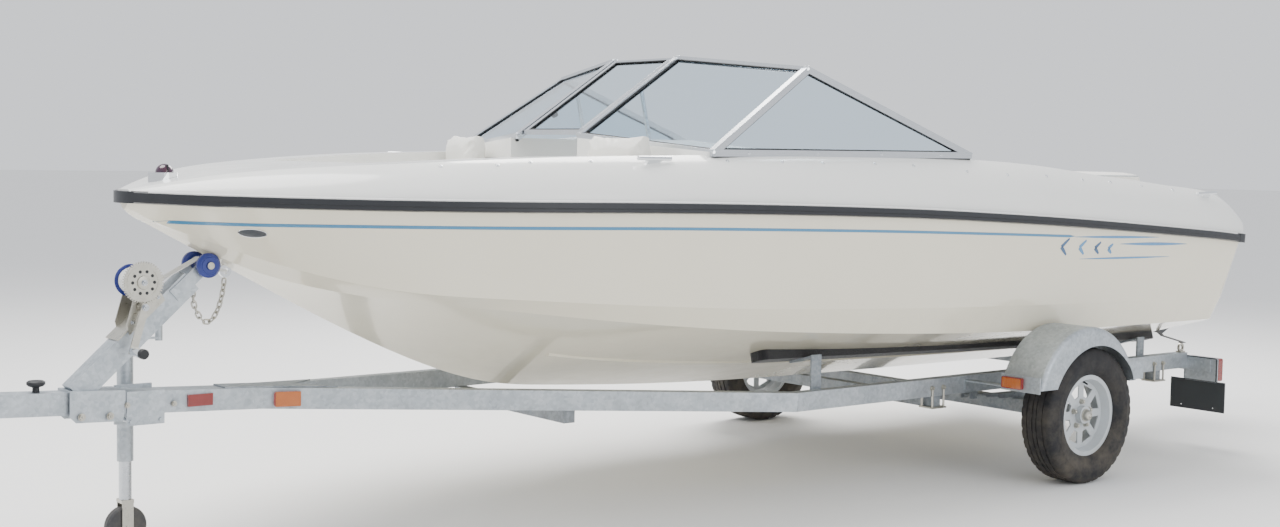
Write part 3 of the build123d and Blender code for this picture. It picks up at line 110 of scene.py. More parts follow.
def lightStudio():
    for name, place, target, size, power, colour in lampTable:
        data = bpy.data.lights.new(name, "AREA")
        data.shape, data.size, data.energy, data.color = "DISK", size, power, colour
        lamp = bpy.data.objects.new(name, data)
        matrix = aimedAt(spot(*place), spot(*target))
        matrix.translation = spot(*place)
        lamp.matrix_world = matrix
        scene.collection.objects.link(lamp)
    world = bpy.data.worlds.new("softSky")
    world.use_nodes = True
    back = world.node_tree.nodes["Background"]
    back.inputs[0].default_value = studio["sky"]
    back.inputs[1].default_value = studio["skyPower"]
    scene.world = world


lightStudio()
print("stage: camera and lights")


# Shader effects as node groups. A wire reads: node.socket > node.socket
def socketOf(made, side, text):
    label, socket = text.strip().split(".")
    return getattr(made[label], side)[int(socket) if socket.isdigit() else socket]


def makeEffect(name, inputs, outputs, parts, wires):
    group = bpy.data.node_groups.new(name, "ShaderNodeTree")
    for label, value in inputs.items():
        kind = "Float" if isinstance(value, float) else {3: "Vector", 4: "Color"}[len(value)]
        socket = group.interface.new_socket(name=label, in_out="INPUT", socket_type="NodeSocket" + kind)
        socket.default_value = value
    for label in outputs.split():
        kind = {"Color": "Color", "Normal": "Vector"}.get(label, "Float")
        group.interface.new_socket(name=label, in_out="OUTPUT", socket_type="NodeSocket" + kind)
    made = {"into": group.nodes.new("NodeGroupInput"), "out": group.nodes.new("NodeGroupOutput"),
            "place": group.nodes.new("ShaderNodeTexCoord")}
    for label, (kind, settings, values) in parts.items():
        made[label] = group.nodes.new("ShaderNode" + kind)
        for key, value in settings.items():
            setattr(made[label], key, value)
        for key, value in values.items():
            made[label].inputs[key].default_value = value
    for wire in wires.split(","):
        source, target = wire.split(">")
        group.links.new(socketOf(made, "outputs", source), socketOf(made, "inputs", target))
    return group


def noise(**values):
    return "TexNoise", {}, values


def cells(**settings):
    return "TexVoronoi", settings, {}


def sums(operation, values, **settings):
    return "Math", {"operation": operation, **settings}, values


def ranged(values):
    return "MapRange", {"clamp": True}, values


def bumps(**values):
    return "Bump", {}, values


twoTones = ("Mix", {"data_type": "RGBA"}, {})

toneDrift = makeEffect(  # two tones that drift into each other
    "toneDrift", {"First": (1, 1, 1, 1), "Second": (0.5, 0.5, 0.5, 1), "Scale": 6.0, "Sharpness": 0.3,
                  "Detail": 5.0}, "Color",
    {"noise": noise(), "half": sums("MULTIPLY", {1: 0.5}), "spread": sums("SUBTRACT", {0: 0.62}),
     "low": sums("SUBTRACT", {0: 0.5}), "high": sums("ADD", {1: 0.5}), "ramp": ranged({}), "mix": twoTones},
    "place.Object > noise.Vector, into.Scale > noise.Scale, into.Detail > noise.Detail,"
    "into.Sharpness > half.0, half.0 > spread.1, spread.0 > low.1, spread.0 > high.0, noise.0 > ramp.0,"
    "low.0 > ramp.1, high.0 > ramp.2, ramp.0 > mix.0, into.First > mix.6, into.Second > mix.7,"
    "mix.2 > out.Color")

finishRange = makeEffect(  # gloss that varies from patch to patch
    "finishRange", {"Low": 0.2, "High": 0.4, "Scale": 9.0}, "Value",
    {"noise": noise(Detail=6.0, Roughness=0.6), "ramp": ranged({1: 0.32, 2: 0.68})},
    "place.Object > noise.Vector, into.Scale > noise.Scale, noise.0 > ramp.0, into.Low > ramp.3,"
    "into.High > ramp.4, ramp.0 > out.Value")

fineBump = makeEffect(  # orange peel, casting skin, moulded texture
    "fineBump", {"Scale": 400.0, "Depth": 0.0002, "Strength": 0.4}, "Normal",
    {"noise": noise(Detail=3.0), "bump": bumps()},
    "place.Object > noise.Vector, into.Scale > noise.Scale, noise.0 > bump.Height,"
    "into.Depth > bump.Distance, into.Strength > bump.Strength, bump.0 > out.Normal")

carpetPile = makeEffect(  # short tufts of carpet
    "carpetPile", {"Scale": 450.0, "Depth": 0.002}, "Normal",
    {"tuft": cells(), "fuzz": noise(Detail=4.0), "coarser": sums("MULTIPLY", {1: 0.37}),
     "height": sums("MULTIPLY_ADD", {1: -0.7}), "bump": bumps(Strength=0.9)},
    "place.Object > tuft.Vector, place.Object > fuzz.Vector, into.Scale > tuft.Scale,"
    "into.Scale > coarser.0, coarser.0 > fuzz.Scale, tuft.Distance > height.0, fuzz.0 > height.2,"
    "height.0 > bump.Height, into.Depth > bump.Distance, bump.0 > out.Normal")

hideGrain = makeEffect(  # pebbled grain of coated vinyl
    "hideGrain", {"Scale": 700.0, "Depth": 0.0004}, "Normal",
    {"pebble": cells(feature="DISTANCE_TO_EDGE"), "crease": noise(Scale=14.0, Detail=6.0, Roughness=0.7),
     "ramp": ranged({1: 0.0, 2: 0.16, 3: 0.0, 4: 1.0}), "height": sums("MULTIPLY_ADD", {1: 0.35}),
     "bump": bumps(Strength=0.5)},
    "place.Object > pebble.Vector, place.Object > crease.Vector, into.Scale > pebble.Scale,"
    "pebble.Distance > ramp.0, ramp.0 > height.0, crease.0 > height.2, height.0 > bump.Height,"
    "into.Depth > bump.Distance, bump.0 > out.Normal")

webWeave = makeEffect(  # crossing threads of webbing
    "webWeave", {"Scale": 260.0, "Depth": 0.0005}, "Normal",
    {"warp": ("TexWave", {"bands_direction": "X"}, {"Distortion": 0.4}),
     "weft": ("TexWave", {"bands_direction": "Z"}, {"Distortion": 0.4}),
     "height": sums("MAXIMUM", {}), "bump": bumps(Strength=0.7)},
    "place.Object > warp.Vector, place.Object > weft.Vector, into.Scale > warp.Scale,"
    "into.Scale > weft.Scale, warp.1 > height.0, weft.1 > height.1, height.0 > bump.Height,"
    "into.Depth > bump.Distance, bump.0 > out.Normal")

zincSpangle = makeEffect(  # frosty crystals and runs of hot-dip zinc
    "zincSpangle", {"Dark": (0.3, 0.32, 0.34, 1), "Light": (0.6, 0.62, 0.64, 1), "Scale": 70.0,
                    "Depth": 0.0002}, "Color Normal",
    {"crystal": cells(), "grey": ("SeparateColor", {}, {}),
     "runs": noise(Scale=11.0, Detail=7.0, Roughness=0.65), "blend": sums("MULTIPLY_ADD", {1: 0.34}),
     "ramp": ranged({1: 0.36, 2: 0.92}), "mix": twoTones, "bump": bumps(Strength=0.35)},
    "place.Object > crystal.Vector, place.Object > runs.Vector, into.Scale > crystal.Scale,"
    "crystal.Color > grey.0, grey.0 > blend.0, runs.0 > blend.2, blend.0 > ramp.0, ramp.0 > mix.0,"
    "into.Dark > mix.6, into.Light > mix.7, blend.0 > bump.Height, into.Depth > bump.Distance,"
    "mix.2 > out.Color, bump.0 > out.Normal")

lowDustAndShade = makeEffect(  # darker towards the bottom: painted shade low on the hull, dust low on the trailer's parts
    "lowDustAndShade", {"Clean": (1, 1, 1, 1), "Dust": (0.36, 0.31, 0.24, 1), "Low": 0.1, "High": 0.7,
                 "Amount": 0.5}, "Color",
    {"parts": ("SeparateXYZ", {}, {}), "fade": ranged({3: 1.0, 4: 0.0}),
     "noise": noise(Scale=8.0, Detail=8.0, Roughness=0.7), "ramp": ranged({1: 0.38, 2: 0.7}),
     "both": sums("MULTIPLY", {}), "mask": sums("MULTIPLY", {}, use_clamp=True),
     "mix": twoTones},
    "place.Object > parts.0, place.Object > noise.Vector, parts.2 > fade.0, into.Low > fade.1,"
    "into.High > fade.2, noise.0 > ramp.0, ramp.0 > both.0, fade.0 > both.1, both.0 > mask.0,"
    "into.Amount > mask.1, mask.0 > mix.0, into.Clean > mix.6, into.Dust > mix.7, mix.2 > out.Color")

drawnLines = makeEffect(  # fine drawn lines of rolled or extruded metal
    "drawnLines", {"Along": (4.0, 500.0, 500.0), "Low": 0.2, "High": 0.36, "Depth": 0.00005}, "Value Normal",
    {"stretch": ("VectorMath", {"operation": "MULTIPLY"}, {}), "noise": noise(Scale=1.0, Detail=3.0),
     "ramp": ranged({1: 0.3, 2: 0.7}), "bump": bumps(Strength=0.3)},
    "place.Object > stretch.0, into.Along > stretch.1, stretch.0 > noise.Vector, noise.0 > ramp.0,"
    "into.Low > ramp.3, into.High > ramp.4, ramp.0 > out.Value, noise.0 > bump.Height,"
    "into.Depth > bump.Distance, bump.0 > out.Normal")


# Finishes
shaderSockets = {
    "metal": "Metallic", "rough": "Roughness", "colour": "Base Color", "coat": "Coat Weight",
    "coatRough": "Coat Roughness", "glassy": "Transmission Weight", "bend": "IOR", "sheen": "Sheen Weight",
    "sheenRough": "Sheen Roughness", "gleam": "Specular IOR Level",
}


def newFinish(name, **plain):
    material = bpy.data.materials.new(name)
    material.use_nodes = True
    shader = material.node_tree.nodes["Principled BSDF"]
    for key, value in plain.items():
        shader.inputs[shaderSockets[key]].default_value = value
    return material, shader


def effect(material, group, **values):
    node = material.node_tree.nodes.new("ShaderNodeGroup")
    node.node_tree = group
    for key, value in values.items():
        node.inputs[key].default_value = value
    return node


def join(material, source, target):
    material.node_tree.links.new(source, target)


def shade(hexCode):  # hex tone as the eye sees it, to the shader's own scale
    parts = [int(hexCode[k:k + 2], 16) / 255 for k in (0, 2, 4)]
    return (*(c / 12.92 if c <= 0.04045 else ((c + 0.055) / 1.055) ** 2.4 for c in parts), 1)


def coloured(material, shader, colour, dustAndShade):
    # colour darker towards the bottom where asked: painted shade on the hull, dust on the trailer's parts
    if dustAndShade:
        darkenedLow = effect(material, lowDustAndShade, **dustAndShade)
        join(material, colour, darkenedLow.inputs["Clean"])
        colour = darkenedLow.outputs["Color"]
    join(material, colour, shader.inputs["Base Color"])


def glossed(material, shader, low, high, scale):
    gloss = effect(material, finishRange, Low=low, High=high, Scale=scale)
    join(material, gloss.outputs["Value"], shader.inputs["Roughness"])


def madeOf(name, tones, drift, gloss=None, skin=None, dustAndShade=None, **plain):  # gloss: low, high, scale
    material, shader = newFinish(name, **plain)
    tone = effect(material, toneDrift, First=shade(tones[0]), Second=shade(tones[1]), **drift)
    coloured(material, shader, tone.outputs["Color"], dustAndShade)
    if gloss:
        glossed(material, shader, *gloss)
    if skin:
        bumpy = effect(material, skin[0], **skin[1])
        join(material, bumpy.outputs["Normal"], shader.inputs["Normal"])
    return material


def gelcoat(name, *tones, rough=(0.10, 0.2), dust=0.0, coat=0.5):
    return madeOf(name, tones, {"Scale": 2.2, "Sharpness": 0.1}, (*rough, 5.0),
                  (fineBump, {"Scale": 160.0, "Depth": 0.00003, "Strength": 0.15}),
                  # darker tone low down, used on the hull only: painted shade, the hull itself being clean
                  # cream
                  dust and {"Dust": shade("9a8e70"), "Low": 0.35, "High": 0.85, "Amount": dust},
                  coat=coat, coatRough=0.04, gleam=0.5)


def metalFinish(name, *tones, rough, scale=30.0, depth=0.00004, metal=1.0):
    return madeOf(name, tones, {"Scale": scale, "Sharpness": 0.2}, (*rough, scale * 1.4),
                  (fineBump, {"Scale": 900.0, "Depth": depth, "Strength": 0.2}), metal=metal)


def moulded(name, *tones, rough=(0.35, 0.55), scale=600.0, depth=0.00012, dust=0.0, gleam=0.5, coat=0.0):
    return madeOf(name, tones, {"Scale": 18.0, "Sharpness": 0.2}, (*rough, 22.0),
                  (fineBump, {"Scale": scale, "Depth": depth, "Strength": 0.35}),
                  dust and {"Dust": shade("7d7364"), "Low": 0.0, "High": 0.7, "Amount": dust}, gleam=gleam,
                  coat=coat)


def carpet(name, *tones, scale, depth):
    return madeOf(name, tones, {"Scale": 130.0, "Sharpness": 0.35, "Detail": 8.0},
                  skin=(carpetPile, {"Scale": scale, "Depth": depth}), rough=0.95, sheen=0.35, sheenRough=0.5,
                  gleam=0.15)


def vinyl(name, *tones):
    return madeOf(name, tones, {"Scale": 7.0, "Sharpness": 0.15}, (0.36, 0.52, 16.0),
                  (hideGrain, {"Scale": 620.0, "Depth": 0.0005}), sheen=0.12, sheenRough=0.4, gleam=0.45)


def webbing(name, *tones):
    return madeOf(name, tones, {"Scale": 60.0, "Sharpness": 0.3}, None,
                  (webWeave, {"Scale": 240.0, "Depth": 0.0006}), rough=0.8, sheen=0.3, sheenRough=0.5,
                  gleam=0.25)


def lens(name, *tones, glassy=0.35):
    return madeOf(name, tones, {"Scale": 40.0, "Sharpness": 0.2}, (0.1, 0.2, 30.0),
                  (fineBump, {"Scale": 300.0, "Depth": 0.0003, "Strength": 0.5}),
                  glassy=glassy, bend=1.45, coat=0.6, coatRough=0.05)


def zinc(name, dark, light, rough=(0.38, 0.6), dust=0.35):
    material, shader = newFinish(name, metal=0.85)
    frost = effect(material, zincSpangle, Dark=shade(dark), Light=shade(light), Scale=85.0, Depth=0.00025)
    dustAndShade = {"Dust": shade("857c6c"), "Low": 0.15, "High": 0.6, "Amount": dust}
    coloured(material, shader, frost.outputs["Color"], dustAndShade)
    glossed(material, shader, *rough, 26.0)
    join(material, frost.outputs["Normal"], shader.inputs["Normal"])
    return material


def drawnMetal(name, *tones, along, rough):
    material, shader = newFinish(name, metal=1.0)
    tone = effect(material, toneDrift, First=shade(tones[0]), Second=shade(tones[1]), Scale=9.0,
                  Sharpness=0.15)
    lines = effect(material, drawnLines, Along=along, Low=rough[0], High=rough[1])
    coloured(material, shader, tone.outputs["Color"], None)
    join(material, lines.outputs["Value"], shader.inputs["Roughness"])
    join(material, lines.outputs["Normal"], shader.inputs["Normal"])
    return material


def clearGlass(name, tint, rough=0.01):
    material, shader = newFinish(name, glassy=1.0, bend=1.3, colour=shade(tint), rough=rough)
    glossed(material, shader, rough, rough + 0.03, 6.0)
    return material


smoothFilm = {"rough": (0.18, 0.28), "depth": 0.00002, "coat": 0.4}

# columns: maker, hex tones, what differs from the maker's own values
finishTable = {
    # hull: its darker tone low down is painted shade
    "hullGelcoat": (gelcoat, "e6e0cc e0d9c3", {"dust": 0.25, "coat": 0.6}),
    "deckGelcoat": (gelcoat, "f1f1ee ebebe6", {"rough": (0.14, 0.26), "coat": 0.4}),
    "linerGelcoat": (gelcoat, "e9e8e3 e2e1db", {"rough": (0.22, 0.36), "coat": 0.2}),
    "bumperBlack": (moulded, "1d1f23 24262b", {"rough": (0.28, 0.42), "depth": 0.00006}),
    "trimWhite": (moulded, "eeeeec e4e4e0", {"rough": (0.25, 0.35), "depth": 0.00004}),
    "stripeBlue": (moulded, "3c7fa6 35789f", smoothFilm),
    "graphicBlue": (moulded, "4f8fbf 3b78ab", smoothFilm),
    "graphicDeep": (moulded, "2c5a86 25507b", smoothFilm),
    "badgeInk": (moulded, "30343a 282c31", {"rough": (0.25, 0.35), "depth": 0.00002, "coat": 0.3}),
    "cockpitCarpet": (carpet, "8b8f96 747981", {"scale": 520.0, "depth": 0.002}),
    "bunkCarpet": (carpet, "2a2a2d 1c1c1f", {"scale": 420.0, "depth": 0.0025}),
    "seatVinyl": (vinyl, "f0efe9 e8e6de", {}),
    "accentVinyl": (vinyl, "b9bfc3 adb4b9", {}),
    "anodised": (drawnMetal, "dfe2e6 cfd3d8", {"along": (6.0, 420.0, 420.0), "rough": (0.22, 0.34)}),
    "shieldGlass": (clearGlass, "dcebf5", {}),
    "gasket": (moulded, "17181b 1e2023", {"rough": (0.45, 0.6), "depth": 0.00008}),
    "chrome": (metalFinish, "eef0f2 e2e5e8", {"rough": (0.04, 0.1), "scale": 12.0, "depth": 0.00001}),
    "groundSteel": (metalFinish, "c9ccd0 b4b8bd", {"rough": (0.16, 0.3), "scale": 24.0, "depth": 0.00003}),
    "zincPlate": (metalFinish, "c7c4ba a9a69c",
                  {"rough": (0.24, 0.42), "scale": 40.0, "depth": 0.00006, "metal": 0.9}),
    "engineIron": (moulded, "1b1c1f 24262a", {"rough": (0.35, 0.6), "scale": 240.0, "depth": 0.0006}),
    "drivePaint": (moulded, "1c1e22 25282d",
                   {"rough": (0.26, 0.42), "scale": 300.0, "depth": 0.00015, "coat": 0.2}),
    "galvanised": (zinc, "a0a7ad bdc3c8", {}),
    "galvanisedDull": (zinc, "858c92 a2a8ae", {"rough": (0.5, 0.68), "dust": 0.5}),
    "tyreRubber": (moulded, "202124 2b2b2d",
                   {"rough": (0.7, 0.88), "scale": 260.0, "depth": 0.0002, "dust": 0.5, "gleam": 0.3}),
    "wheelPaint": (moulded, "c3c8cb adb3b7",
                   {"rough": (0.3, 0.46), "depth": 0.00006, "dust": 0.3, "coat": 0.2}),
    "rollerBlue": (moulded, "1d2f86 17266f", {"rough": (0.28, 0.44), "depth": 0.0001, "coat": 0.15}),
    "webbingWhite": (webbing, "e8e8e6 d5d5d1", {}),
    "webbingBlack": (webbing, "1b1b1e 242427", {}),
    "lensRed": (lens, "a81f18 8c1712", {}),
    "lensAmber": (lens, "e07a1c cf6a12", {}),
    "lensNavy": (lens, "1a2140 541a26", {"glassy": 0.2}),
    "plateBlank": (metalFinish, "2d3134 26292c",
                   {"rough": (0.4, 0.55), "scale": 10.0, "depth": 0.00003, "metal": 0.0}),
    "helmBlack": (moulded, "1a1b1e 222327", {"rough": (0.42, 0.58), "scale": 500.0, "depth": 0.0002}),
    "dialFace": (moulded, "f2f2ee eaeae4", {"rough": (0.3, 0.4), "depth": 0.00002, "coat": 0.5}),
    "casterGrey": (moulded, "3a3b3e 2e2f32", {"rough": (0.55, 0.7), "dust": 0.4}),
}
finishes = {name: maker(name, *tones.split(), **more) for name, (maker, tones, more) in finishTable.items()}

nodeFinish = {
    "hullGelcoat": "hull", "deckGelcoat": "deck dash hatch_lid", "bumperBlack": "rub_rail",
    "cockpitCarpet": "sole", "linerGelcoat": "liner_panels consoles helm_seat companion_seat benches",
    "anodised": "windshield_frame windshield_door_frame",
    "shieldGlass": "windshield_glass windshield_door_glass",
    "groundSteel": "seat_pedestals propeller trim_rods jack_leg",
    "seatVinyl": "helm_cushions companion_cushions bench_cushions sun_pad", "engineIron": "engine",
    "helmBlack": "steering_column steering_wheel", "chrome": "deck_fittings bow_light",
    "drivePaint": "drive_mount gimbal_ring drive_leg trim_barrels",
    "galvanised": "rails tongue winch_stand fenders jack_bracket jack_tube",
    "galvanisedDull": "cross_members bunk_brackets axle springs",
    "zincPlate": "coupler winch bow_chain tie_rings jack_fork", "rollerBlue": "bow_roller",
    "webbingWhite": "winch_strap", "webbingBlack": "tie_straps", "bunkCarpet": "bunks",
    "wheelPaint": "wheel_port wheel_starboard", "tyreRubber": "tyre_port tyre_starboard", "lensRed": "lamps",
    "plateBlank": "plate_holder", "casterGrey": "jack_wheel",
}
for finishName, names in nodeFinish.items():
    for nodeName in names.split():
        nodes[nodeName].data.materials.clear()
        nodes[nodeName].data.materials.append(finishes[finishName])
print("stage: finishes on the parts,", len(finishes), "finishes")


def makeFloor():
    size, first = studio["floorSize"], studio["floorTone"]
    second = tuple(c * 0.97 for c in first[:3]) + (1,)
    mesh = bpy.data.meshes.new("studioFloor")
    corners = [(-size, -size, 0), (size, -size, 0), (size, size, 0), (-size, size, 0)]
    mesh.from_pydata(corners, [], [(0, 1, 2, 3)])
    floor = bpy.data.objects.new("studioFloor", mesh)
    scene.collection.objects.link(floor)
    material, shader = newFinish("studioFloor", rough=0.85, gleam=0.2)
    tone = effect(material, toneDrift, First=first, Second=second, Scale=1.3, Sharpness=0.1)
    coloured(material, shader, tone.outputs["Color"], None)
    mesh.materials.append(material)


makeFloor()


# Mesh making. Lengths are metres from the trailer's axle, and spot() sets them in the frame
def meshes(count):
    return [bmesh.new() for _ in range(count)]


def turnAngles(sides):
    return [2 * math.pi * k / sides for k in range(sides)]


def polar(radius, a, height=0.0):
    return Vector((radius * math.cos(a), radius * math.sin(a), height))


def circle(frameAt, radius, height, sides):
    return [frameAt @ polar(radius, a, height) for a in turnAngles(sides)]


def lifted(frameAt, height):
    return frameAt @ Matrix.Translation((0, 0, height))


def framed(origin, along, level=(0, 0, 1)):  # a frame at a point, its z along a direction
    z = Vector(along).normalized()
    x = Vector(level).cross(z)
    x = x.normalized() if x.length > 1e-5 else z.orthogonal().normalized()
    matrix = Matrix((x, z.cross(x), z)).transposed().to_4x4()
    matrix.translation = Vector(origin)
    return matrix


def sideways(x, y, z, side):  # a frame on one side of the boat, facing out
    return framed(spot(x, side * y, z), (0, side, 0))


def skinRings(bm, low, high):
    count = max(len(low), len(high))
    for k in range(count):
        after = (k + 1) % count
        if len(low) == 1:
            bm.faces.new((low[0], high[after], high[k]))
        elif len(high) == 1:
            bm.faces.new((low[k], low[after], high[0]))
        else:
            bm.faces.new((low[k], low[after], high[after], high[k]))


def skinned(bm, runs, closed=False):  # skin over rings of points, its ends capped unless it is closed
    rings = [[bm.verts.new(point) for point in run] for run in runs]
    for low, high in zip(rings, rings[1:] + ([rings[0]] if closed else [])):
        skinRings(bm, low, high)
    if not closed:
        for ring in (rings[0], rings[-1]):
            if len(ring) > 1:
                bm.faces.new(ring)


def lathe(bm, profile, frameAt, sides=32, closed=False):  # profile of (radius, height), turned about z
    runs = [circle(frameAt, radius, height, sides if radius > 1e-7 else 1) for radius, height in profile]
    skinned(bm, runs, closed)


def pipe(bm, points, radius, sides=10, closed=False, squash=1.0):
    points = [Vector(p) for p in points]
    rings, side = [], None
    for k, point in enumerate(points):
        if closed:
            ahead = points[(k + 1) % len(points)] - points[k - 1]
        else:
            ahead = points[min(k + 1, len(points) - 1)] - points[max(k - 1, 0)]
        ahead.normalize()
        side = (ahead.orthogonal() if side is None else side - ahead * side.dot(ahead)).normalized()
        wide, tall = side * radius, ahead.cross(side) * radius * squash
        rings.append([bm.verts.new(point + wide * math.cos(a) + tall * math.sin(a))
                      for a in turnAngles(sides)])
    for low, high in zip(rings, rings[1:]):
        skinRings(bm, low, high)
    if closed:
        gaps = [(rings[-1][0].co - vert.co).length for vert in rings[0]]
        shift = gaps.index(min(gaps))
        skinRings(bm, rings[-1], rings[0][shift:] + rings[0][:shift])
    else:
        bm.faces.new(rings[0])
        bm.faces.new(rings[-1])


def slab(bm, outline, frameAt, depth):  # outline in the frame's x and y, thickened along its z
    skinned(bm, [[frameAt @ Vector((x, y, height)) for x, y in outline] for height in (0, depth)])


def brick(bm, size, frameAt, edge=0.001, steps=2):
    made = bmesh.ops.create_cube(bm, size=1.0, matrix=frameAt @ Matrix.Diagonal((*size, 1)))["verts"]
    edges = list({e for vert in made for e in vert.link_edges})
    bmesh.ops.bevel(bm, geom=edges, offset=edge, segments=steps, affect="EDGES", clamp_overlap=True)


def at(x, y, z):  # an upright frame at a place on the boat
    return Matrix.Translation(spot(x, y, z))


def hexagon(across):
    return [polar(across / 2 / math.cos(math.pi / 6), a)[:2] for a in turnAngles(6)]


def bolt(bm, frameAt, across, height=None):  # washer, hexagon head and rounded crown
    height = height or across * 0.55
    washer, stud, end = across * 0.1, across * 0.22, across * 0.3
    lathe(bm, [(0, 0), (across * 0.72, 0), (across * 0.72, washer), (0, washer)], frameAt, 20)
    slab(bm, hexagon(across), lifted(frameAt, washer), height)
    lathe(bm, [(0, 0), (across * 0.26, 0), (across * 0.26, stud), (across * 0.18, end), (0, end)],
          lifted(frameAt, height + washer), 12)


def makePiece(name, bm, finish, body="boat_and_trailer", replaced=(), sharp=35):
    bmesh.ops.recalc_face_normals(bm, faces=bm.faces)
    mesh = bpy.data.meshes.new(name)
    bm.to_mesh(mesh)
    bm.free()
    mesh.polygons.foreach_set("use_smooth", [True] * len(mesh.polygons))
    mesh.set_sharp_from_angle(angle=math.radians(sharp))
    mesh.materials.append(finishes[finish])
    piece = bpy.data.objects.new(name, mesh)
    scene.collection.objects.link(piece)
    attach(piece, body)
    if replaced:
        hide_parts(*replaced)


def surfaceOf(nodeName):  # surface of a CAD part, to set things on
    mesh = nodes[nodeName].data
    return BVHTree.FromPolygons([vert.co for vert in mesh.vertices],
                                [list(face.vertices) for face in mesh.polygons])


def sideHit(surface, x, z, side, lift=0.0):  # where a level look from one side meets a surface
    place, normal, _, _ = surface.ray_cast(spot(x, side * 2, z), Vector((0, -side, 0)))
    if place is None:
        return None, None
    normal = -normal if normal.y * side < 0 else normal
    return place + normal * lift, normal


def seatOn(surface, start, way):  # frame on the surface that a look from a place meets
    place, normal, _, _ = surface.ray_cast(spot(*start), Vector(way))
    if place is None:
        return None
    return framed(place, -normal if normal.dot(Vector(way)) > 0 else normal)


def spread(first, last, count):  # evenly spaced points from one to another, both kept
    first, last = Vector(first), Vector(last)
    return [first.lerp(last, k / count) for k in range(count + 1)]


def smoothRun(points, steps):  # soft curve through given points
    places = [Vector(p) for p in points]
    made = []
    for k in range(len(places) - 1):
        before, here = places[max(k - 1, 0)], places[k]
        after, beyond = places[k + 1], places[min(k + 2, len(places) - 1)]
        for step in range(steps):
            t = step / steps
            second, third = 2 * before - 5 * here + 4 * after - beyond, 3 * here - before - 3 * after + beyond
            made.append(0.5 * (2 * here + (after - before) * t + second * t * t + third * t ** 3))
    return made + [places[-1]]


# Pinstripe, side graphic and bow badge: thin films laid on the hull's curve
hullSkin = surfaceOf("hull")
stripes = {
    "pin": [(3.777, 1.145), (3.575, 1.1415), (3.202, 1.1448), (2.558, 1.143), (2.155, 1.139), (1.687, 1.130),
            (1.146, 1.117), (0.533, 1.098), (0.057, 1.082)],
    "pinWidth": 0.011,
    "film": 0.0012,
    "sunk": 0.002,
    "reach": 0.035,  # how far the tapered ends go on
    "lastDrop": 0.001,
}

sideGraphic = {
    "armWidth": 0.017,
    "legShare": 0.9,
    "chevrons": [(0.10, 1.035, 0.072, 0.050), (-0.03, 1.030, 0.062, 0.044), (-0.145, 1.025, 0.052, 0.038),
                 (-0.245, 1.020, 0.042, 0.032)],  # columns: x, z, height, depth
    "lines": [(0.02, -0.62, 1.078, 1.066, 0.010), (-0.33, -0.86, 1.040, 1.030, 0.013),
              (-0.05, -0.74, 0.978, 0.972, 0.008)],  # columns: x from, x to, z from, z to, width
}


def film(bm, line, side, width, rows=1):  # strip along a run of (x, z, share of the width) on one side
    rings = []
    for k, (x, z, share) in enumerate(line):
        ahead = Vector(line[min(k + 1, len(line) - 1)][:2]) - Vector(line[max(k - 1, 0)][:2])
        across = Vector((-ahead.y, ahead.x)).normalized() * width * share / 2
        spots = [(x + across.x * t, z + across.y * t) for t in (1 - 2 * k / rows for k in range(rows + 1))]
        outside = [sideHit(hullSkin, a, b, side, stripes["film"])[0] for a, b in spots]
        inside = [sideHit(hullSkin, a, b, side, -stripes["sunk"])[0] for a, b in reversed(spots)]
        rings.append(outside + inside)
    skinned(bm, rings)


def makeStripes():
    line = [(*p, 1.0) for p in smoothRun(stripes["pin"], 30)]
    (firstX, firstZ, _), (lastX, lastZ, _) = line[0], line[-1]
    reach = stripes["reach"]
    line = [(firstX + reach, firstZ, 0.15)] + line + [(lastX - reach, lastZ - stripes["lastDrop"], 0.1)]
    bm = bmesh.new()
    for side in (1, -1):
        film(bm, line, side, stripes["pinWidth"])
    makePiece("pinStripes", bm, "stripeBlue")


def makeSideGraphic():
    pale, deep = meshes(2)
    for side in (1, -1):
        for k, (x, z, tall, deepIn) in enumerate(sideGraphic["chevrons"]):
            leg = deepIn * sideGraphic["legShare"]
            for way in (tall, -tall):
                arm = [(x - leg, z + way / 2, 0.5), (x - leg / 2, z + way / 4, 0.9), (x, z, 1.0)]
                film(pale if k % 2 else deep, arm, side, sideGraphic["armWidth"], 2)
        for start, end, high, low, width in sideGraphic["lines"]:
            run = spread((start, high), (end, low), 16)
            line = [(*place, 0.12 + math.sin(math.pi * k / 16)) for k, place in enumerate(run)]
            film(pale, line, side, width, 2)
    makePiece("sideGraphicPale", pale, "graphicBlue")
    makePiece("sideGraphicDeep", deep, "graphicDeep")


badge = {"x": 3.553, "z": 1.112, "long": 0.052, "tall": 0.022, "rim": 0.0014, "rimOut": 0.0012,
         "rows": [(1.0, -0.001), (1.0, 0.001), (0.9, 0.0016), (0.5, 0.0022)]}


def makeBadges():
    plate, rim = meshes(2)
    for side in (1, -1):
        oval = framed(*sideHit(hullSkin, badge["x"], badge["z"], side))
        oval = oval @ Matrix.Diagonal((badge["long"], badge["tall"], 1, 1))
        lathe(plate, badge["rows"], oval, 40)
        pipe(rim, circle(oval, 1.0, badge["rimOut"], 40), badge["rim"], 6, True)
    makePiece("bowBadges", plate, "badgeInk")
    makePiece("bowBadgeRims", rim, "chrome")


makeStripes()
makeSideGraphic()
makeBadges()


# White bead on top of the rub rail, and the seam lines of its rubber
rubBead = {"from": -1.27, "to": 3.86, "step": 0.06, "radius": 0.0042, "inset": 0.007, "seam": 0.0016,
           "seamOut": 0.0006, "seamDown": 0.004, "belowSheer": 0.003}
sheerRows = [  # columns: x, height of the rub rail's middle
    (-1.41, 1.046), (-1.18, 1.065), (-0.9, 1.085), (-0.6, 1.105), (-0.3, 1.124), (0, 1.142), (0.3, 1.158),
    (0.7, 1.177), (1.1, 1.193), (1.45, 1.203), (1.8, 1.211), (2.1, 1.216), (2.8, 1.220), (3.45, 1.223),
    (3.9, 1.231),
]


